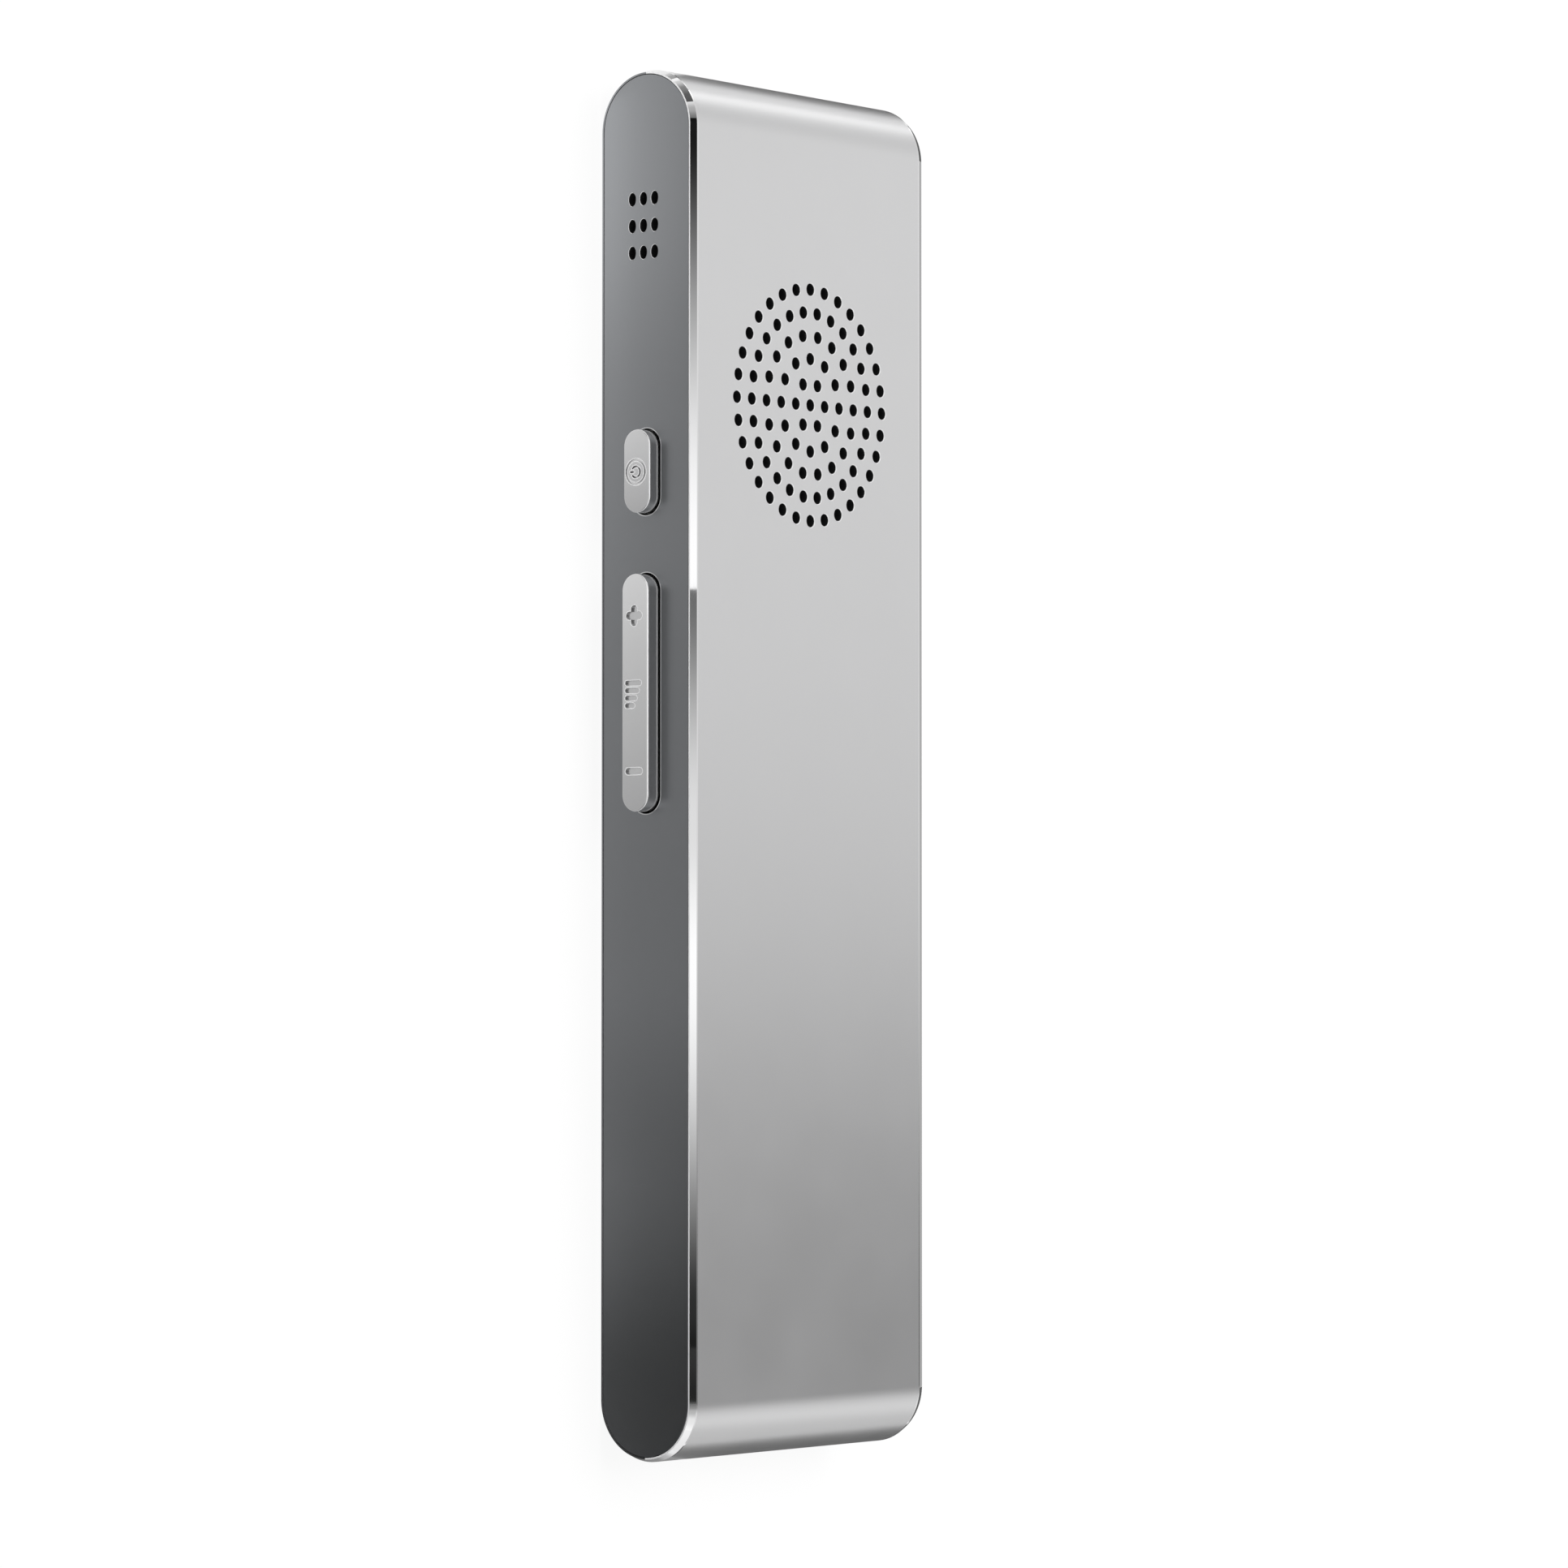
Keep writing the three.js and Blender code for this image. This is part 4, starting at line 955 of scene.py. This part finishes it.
# Status light: a small white LED soldered to the board, under a clear moulded guide.
# The guide brings the light to its hole in the front face.
led_resin = moulded("led_resin", (0.8, 0.78, 0.66), roughness=0.4, grain=0.2, depth=0.003)
clear_guide = moulded(
    "clear_guide", (0.86, 0.88, 0.9), roughness=0.18, grain=0.3, depth=0.002,
    **{"Transmission Weight": 0.9},
)
dress(led_resin, "status_led")
dress(clear_guide, "led_light_guide")

# Carrier frame: one moulding of black glass-filled nylon, slid into the band.
# It fills the band's ends and holds the board and the battery.
carrier_nylon = moulded("carrier_nylon", (0.028, 0.028, 0.03), roughness=0.6, grain=0.35, depth=0.012)
dress(carrier_nylon, "carrier_frame")

# Battery: a lithium pouch cell in laminated silver foil, laid on a foam pad.
# Its leads end in a white plug on the main board.
foil_colour = (0.6, 0.6, 0.61)


def pouch_foil():
    """Laminated foil: soft creases, and faint rolling lines along Y."""
    material, shader = new_finish("pouch_foil")
    creases = shader.noise(7, 4.0)
    lines = shader.noise(0.3, stretch=(1, 30, 1))
    close_finish(shader, {
        "Base Color": toned(shader, creases, foil_colour, 0.9, 1.08),
        "Metallic": 0.8,
        "Roughness": 0.4 + (lines - 0.5) * 0.16,
        "Normal": shader.bump(creases + lines * 0.05, 0.12),
    })
    return material


dress(pouch_foil(), "battery_cell")
dress(foam_tape, "battery_pad")
dress(acetal, "battery_connector")

# Floor and surroundings: a white table in plain white light. What the camera and the metal see of them
# is white, and all other light from them is at a plain level.
floor_size = 6000
floor_share = 0.9
ambient_level = 0.55
white = (1, 1, 1, 1)
table_white = (0.95, 0.95, 0.95, 1)


def seen_directly(shader):
    """1 for what the camera sees, straight, in gloss or through glass, and 0 for other light."""
    camera_ray = shader.node("ShaderNodeLightPath", {}, {}, "Is Camera Ray")
    gloss_ray = shader.node("ShaderNodeLightPath", {}, {}, "Is Glossy Ray")
    glass_ray = shader.node("ShaderNodeLightPath", {}, {}, "Is Transmission Ray")
    either = camera_ray.math("MAXIMUM", camera_ray, gloss_ray)
    return either.math("MAXIMUM", either, glass_ray)


world = bpy.data.worlds.new("studio")
bpy.context.scene.world = world
world.use_nodes = True
sky = Shader(world.node_tree)
surroundings = sky.node("ShaderNodeBackground", {}, {
    "Color": white,
    "Strength": ambient_level + seen_directly(sky) * (1 - ambient_level),
})
sky.node("ShaderNodeOutputWorld", {}, {"Surface": surroundings})

floor_paint, shader = new_finish("white_table")
lit = shader.node("ShaderNodeBsdfDiffuse", {}, {"Color": table_white})
glow = shader.node("ShaderNodeEmission", {}, {"Color": white, "Strength": 1.0})
glow_share = seen_directly(shader) * floor_share
mixed = shader.node("ShaderNodeMixShader", {}, {0: glow_share, 1: lit, 2: glow})
shader.node("ShaderNodeOutputMaterial", {}, {"Surface": mixed})
bm = bmesh.new()
bmesh.ops.create_grid(bm, x_segments=1, y_segments=1, size=floor_size / 2 * mm)
floor = add_object(bm, "table_top", (floor_paint,))

# Cards: graded light cards that only gloss shows, hung and laid round the object.
# The broad face mirrors the back card, the chamfer the roof cards, the dark plate and the key faces the
# table card, and the rest the others. A roof card ends where the chamfer shows a sharp step.
even = ((0, 1.0), (1, 1.0))
length_axis = (0, 1, 0)
height_axis = (0, 0, 1)
roof_stops = (
    ((-380, 1.08), (-228, 0.9), (-150, 0.52), (-110, 0.28), (-97, 0.21), (-85, 0.185)),
    ((-85, 0.017), (-76.8, 0.037)),
    ((-76.8, 0.013), (-71, 0.03), (-19, 1.13), (1, 0.82), (36.1, 0.165)),
    ((36.1, 1.14), (40, 1.14), (104, 0.012), (161, 0.008)),
    ((161, 0.2), (260, 0.46), (365.5, 0.82)),
    ((365.5, 0.06), (380, 0.08)),
)


def graded_card(name, centre, facing, along, width, stops, across_stops=even, across_strength=even):
    """Card seen only in gloss. It runs from its first stop to its last, counted in mm from the centre,
    and its light is graded that way, and across it where that is asked for, with a varying strength."""
    start, end = stops[0][0], stops[-1][0]
    length = end - start
    material, shader = new_finish(name)

    def level(axis, reach, first, ramp_stops):
        share = distance_along(shader, axis) * (1 / (reach * mm)) + 0.5
        ramp = [((spot - first) / reach, grey) for spot, grey in ramp_stops]
        return shader.node("ShaderNodeValToRGB", {"stops": ramp}, {"Fac": share})

    across = level("X", width, -width / 2, across_stops) - 1
    strength = level("Y", length, start, across_strength)
    grey = level("Y", length, start, stops) * (across * strength + 1)
    glow = shader.node("ShaderNodeEmission", {}, {"Color": grey, "Strength": 1.0})
    shader.node("ShaderNodeOutputMaterial", {}, {"Surface": glow})
    bm = bmesh.new()
    bmesh.ops.create_grid(bm, x_segments=1, y_segments=1, size=0.5)
    bmesh.ops.scale(bm, vec=(width * mm, length * mm, 1), verts=bm.verts)
    card = add_object(bm, name, (material,))
    out = Vector(facing).normalized()
    side = Vector(along).cross(out).normalized()
    up = out.cross(side)
    middle_place = Matrix.Translation((Vector(centre) + up * (start + end) / 2) * mm)
    card.matrix_world = middle_place @ Matrix((side, up, out)).transposed().to_4x4()
    card.visible_camera = False
    card.visible_diffuse = False
    card.visible_shadow = False
    card.visible_transmission = False


graded_card(
    "back_card", centre=(273, 0, 229), facing=(-0.78, 0, -0.62), along=length_axis, width=520,
    stops=(
        (-520, 0.5), (-325, 0.62), (-240, 0.85), (-176, 0.77), (-112, 0.32), (-82, 0.18), (2, 0.74),
        (110, 0.81), (240, 0.66), (300, 0.74), (400, 1.45), (520, 1.45),
    ),
)
for index, stops in enumerate(roof_stops):
    graded_card(
        f"roof_card_{index + 1}", centre=(24, 0, 300), facing=(0, 0, -1), along=length_axis, width=130,
        stops=stops,
    )
graded_card(
    "far_end_card", centre=(130, 450, 190), facing=(0, -1, 0), along=height_axis, width=600,
    stops=((-190, 1.0), (-160, 0.7), (-60, 0.25), (60, 0.12), (190, 0.1)),
)
graded_card(
    "near_end_card", centre=(100, -450, 190), facing=(0, 1, 0), along=height_axis, width=200,
    stops=((-190, 0.9), (190, 1.0)),
)
graded_card(
    "table_card", centre=(-170, 0, 0.02), facing=(0, 0, 1), along=length_axis, width=301,
    stops=(
        (-210, 0.06), (-64, 0.09), (-40, 0.33), (-20, 0.49), (7, 0.55), (33, 0.66), (65, 1.0), (210, 1.0),
    ),
    across_stops=((-150, 0.4), (100, 0.45), (128, 0.6), (142, 1.0), (150, 1.35)),
    across_strength=(
        (-210, 1.9), (-62, 1.7), (-44, 0.9), (-25, 0.35), (20, 0.45), (55, 1.1), (210, 1.1),
    ),
)
graded_card(
    "shade_card", centre=(72, -65, 0.02), facing=(0, 0, 1), along=length_axis, width=154,
    stops=((-175, 0.3), (-60, 0.12), (150, 0.12), (165, 0.8), (175, 0.8)),
)
graded_card(
    "far_card", centre=(275, 0, 0.02), facing=(0, 0, 1), along=length_axis, width=250,
    stops=((-250, 0.45), (250, 0.45)),
)
graded_card(
    "near_floor_card", centre=(45, -230, 0.06), facing=(0, 0, 1), along=(0.37, -0.93, 0), width=60,
    stops=((-90, 0.9), (90, 0.9)),
)
graded_card(
    "front_card", centre=(-330, 0, 265), facing=(0.78, 0, -0.62), along=length_axis, width=400,
    stops=((-350, 0.9), (-230, 0.8), (-150, 0.3), (150, 0.3), (230, 0.8), (350, 0.9)),
)
graded_card(
    "far_end_strip", centre=(3.5, 112.5, 0.04), facing=(0, 0, 1), along=(0.45, 0.89, 0), width=18,
    stops=((-50, 1.05), (-27, 0.92), (-18, 0.6), (-5, 0.42), (50, 0.35)),
)
graded_card(
    "near_end_strip", centre=(3.5, -112.5, 0.04), facing=(0, 0, 1), along=(0.45, -0.89, 0), width=18,
    stops=((-50, 0.15), (-36, 0.28), (-24, 0.5), (10, 0.75), (50, 1.0)),
)

# Lamp: one square soft lamp, high over the far end, for soft shadows. Gloss doesn't show it.
# Its side and its place are in metres, and its power is in watts.
lamp_side = 0.7
lamp_power = 6
lamp_place = Vector((0.1, 0.25, 0.75))
lamp_data = bpy.data.lights.new("soft_lamp", "AREA")
lamp_data.shape = "RECTANGLE"
lamp_data.size = lamp_side
lamp_data.size_y = lamp_side
lamp_data.energy = lamp_power
lamp = bpy.data.objects.new("soft_lamp", lamp_data)
bpy.context.scene.collection.objects.link(lamp)
lamp.location = lamp_place
lamp.rotation_euler = lamp_place.to_track_quat("Z", "Y").to_euler()
lamp.visible_glossy = False
lamp.visible_camera = False

# Camera: fitted to the outline, the chamfer lines and the grille holes of the photograph,
# and rolled so that the object's length stands upright in the picture.
sensor_width = 36
focal_length = 140.026
clip_near = 0.05
clip_far = 20
camera_place = Vector((-494.59, -21.834, 405.655))
picture_right = Vector((0.62588, 0.0001, 0.77992)).normalized()
picture_back = Vector((-0.77952, -0.03176, 0.62557)).normalized()
picture_up = picture_back.cross(picture_right).normalized()
camera_data = bpy.data.cameras.new("photo_camera")
camera_data.sensor_width = sensor_width
camera_data.lens = focal_length
camera_data.clip_start = clip_near
camera_data.clip_end = clip_far
camera = bpy.data.objects.new("photo_camera", camera_data)
bpy.context.scene.collection.objects.link(camera)
camera_turn = Matrix((picture_up.cross(picture_back), picture_up, picture_back)).transposed().to_4x4()
camera.matrix_world = Matrix.Translation(camera_place * mm) @ camera_turn
bpy.context.scene.camera = camera
bpy.context.scene.view_settings.view_transform = "Standard"
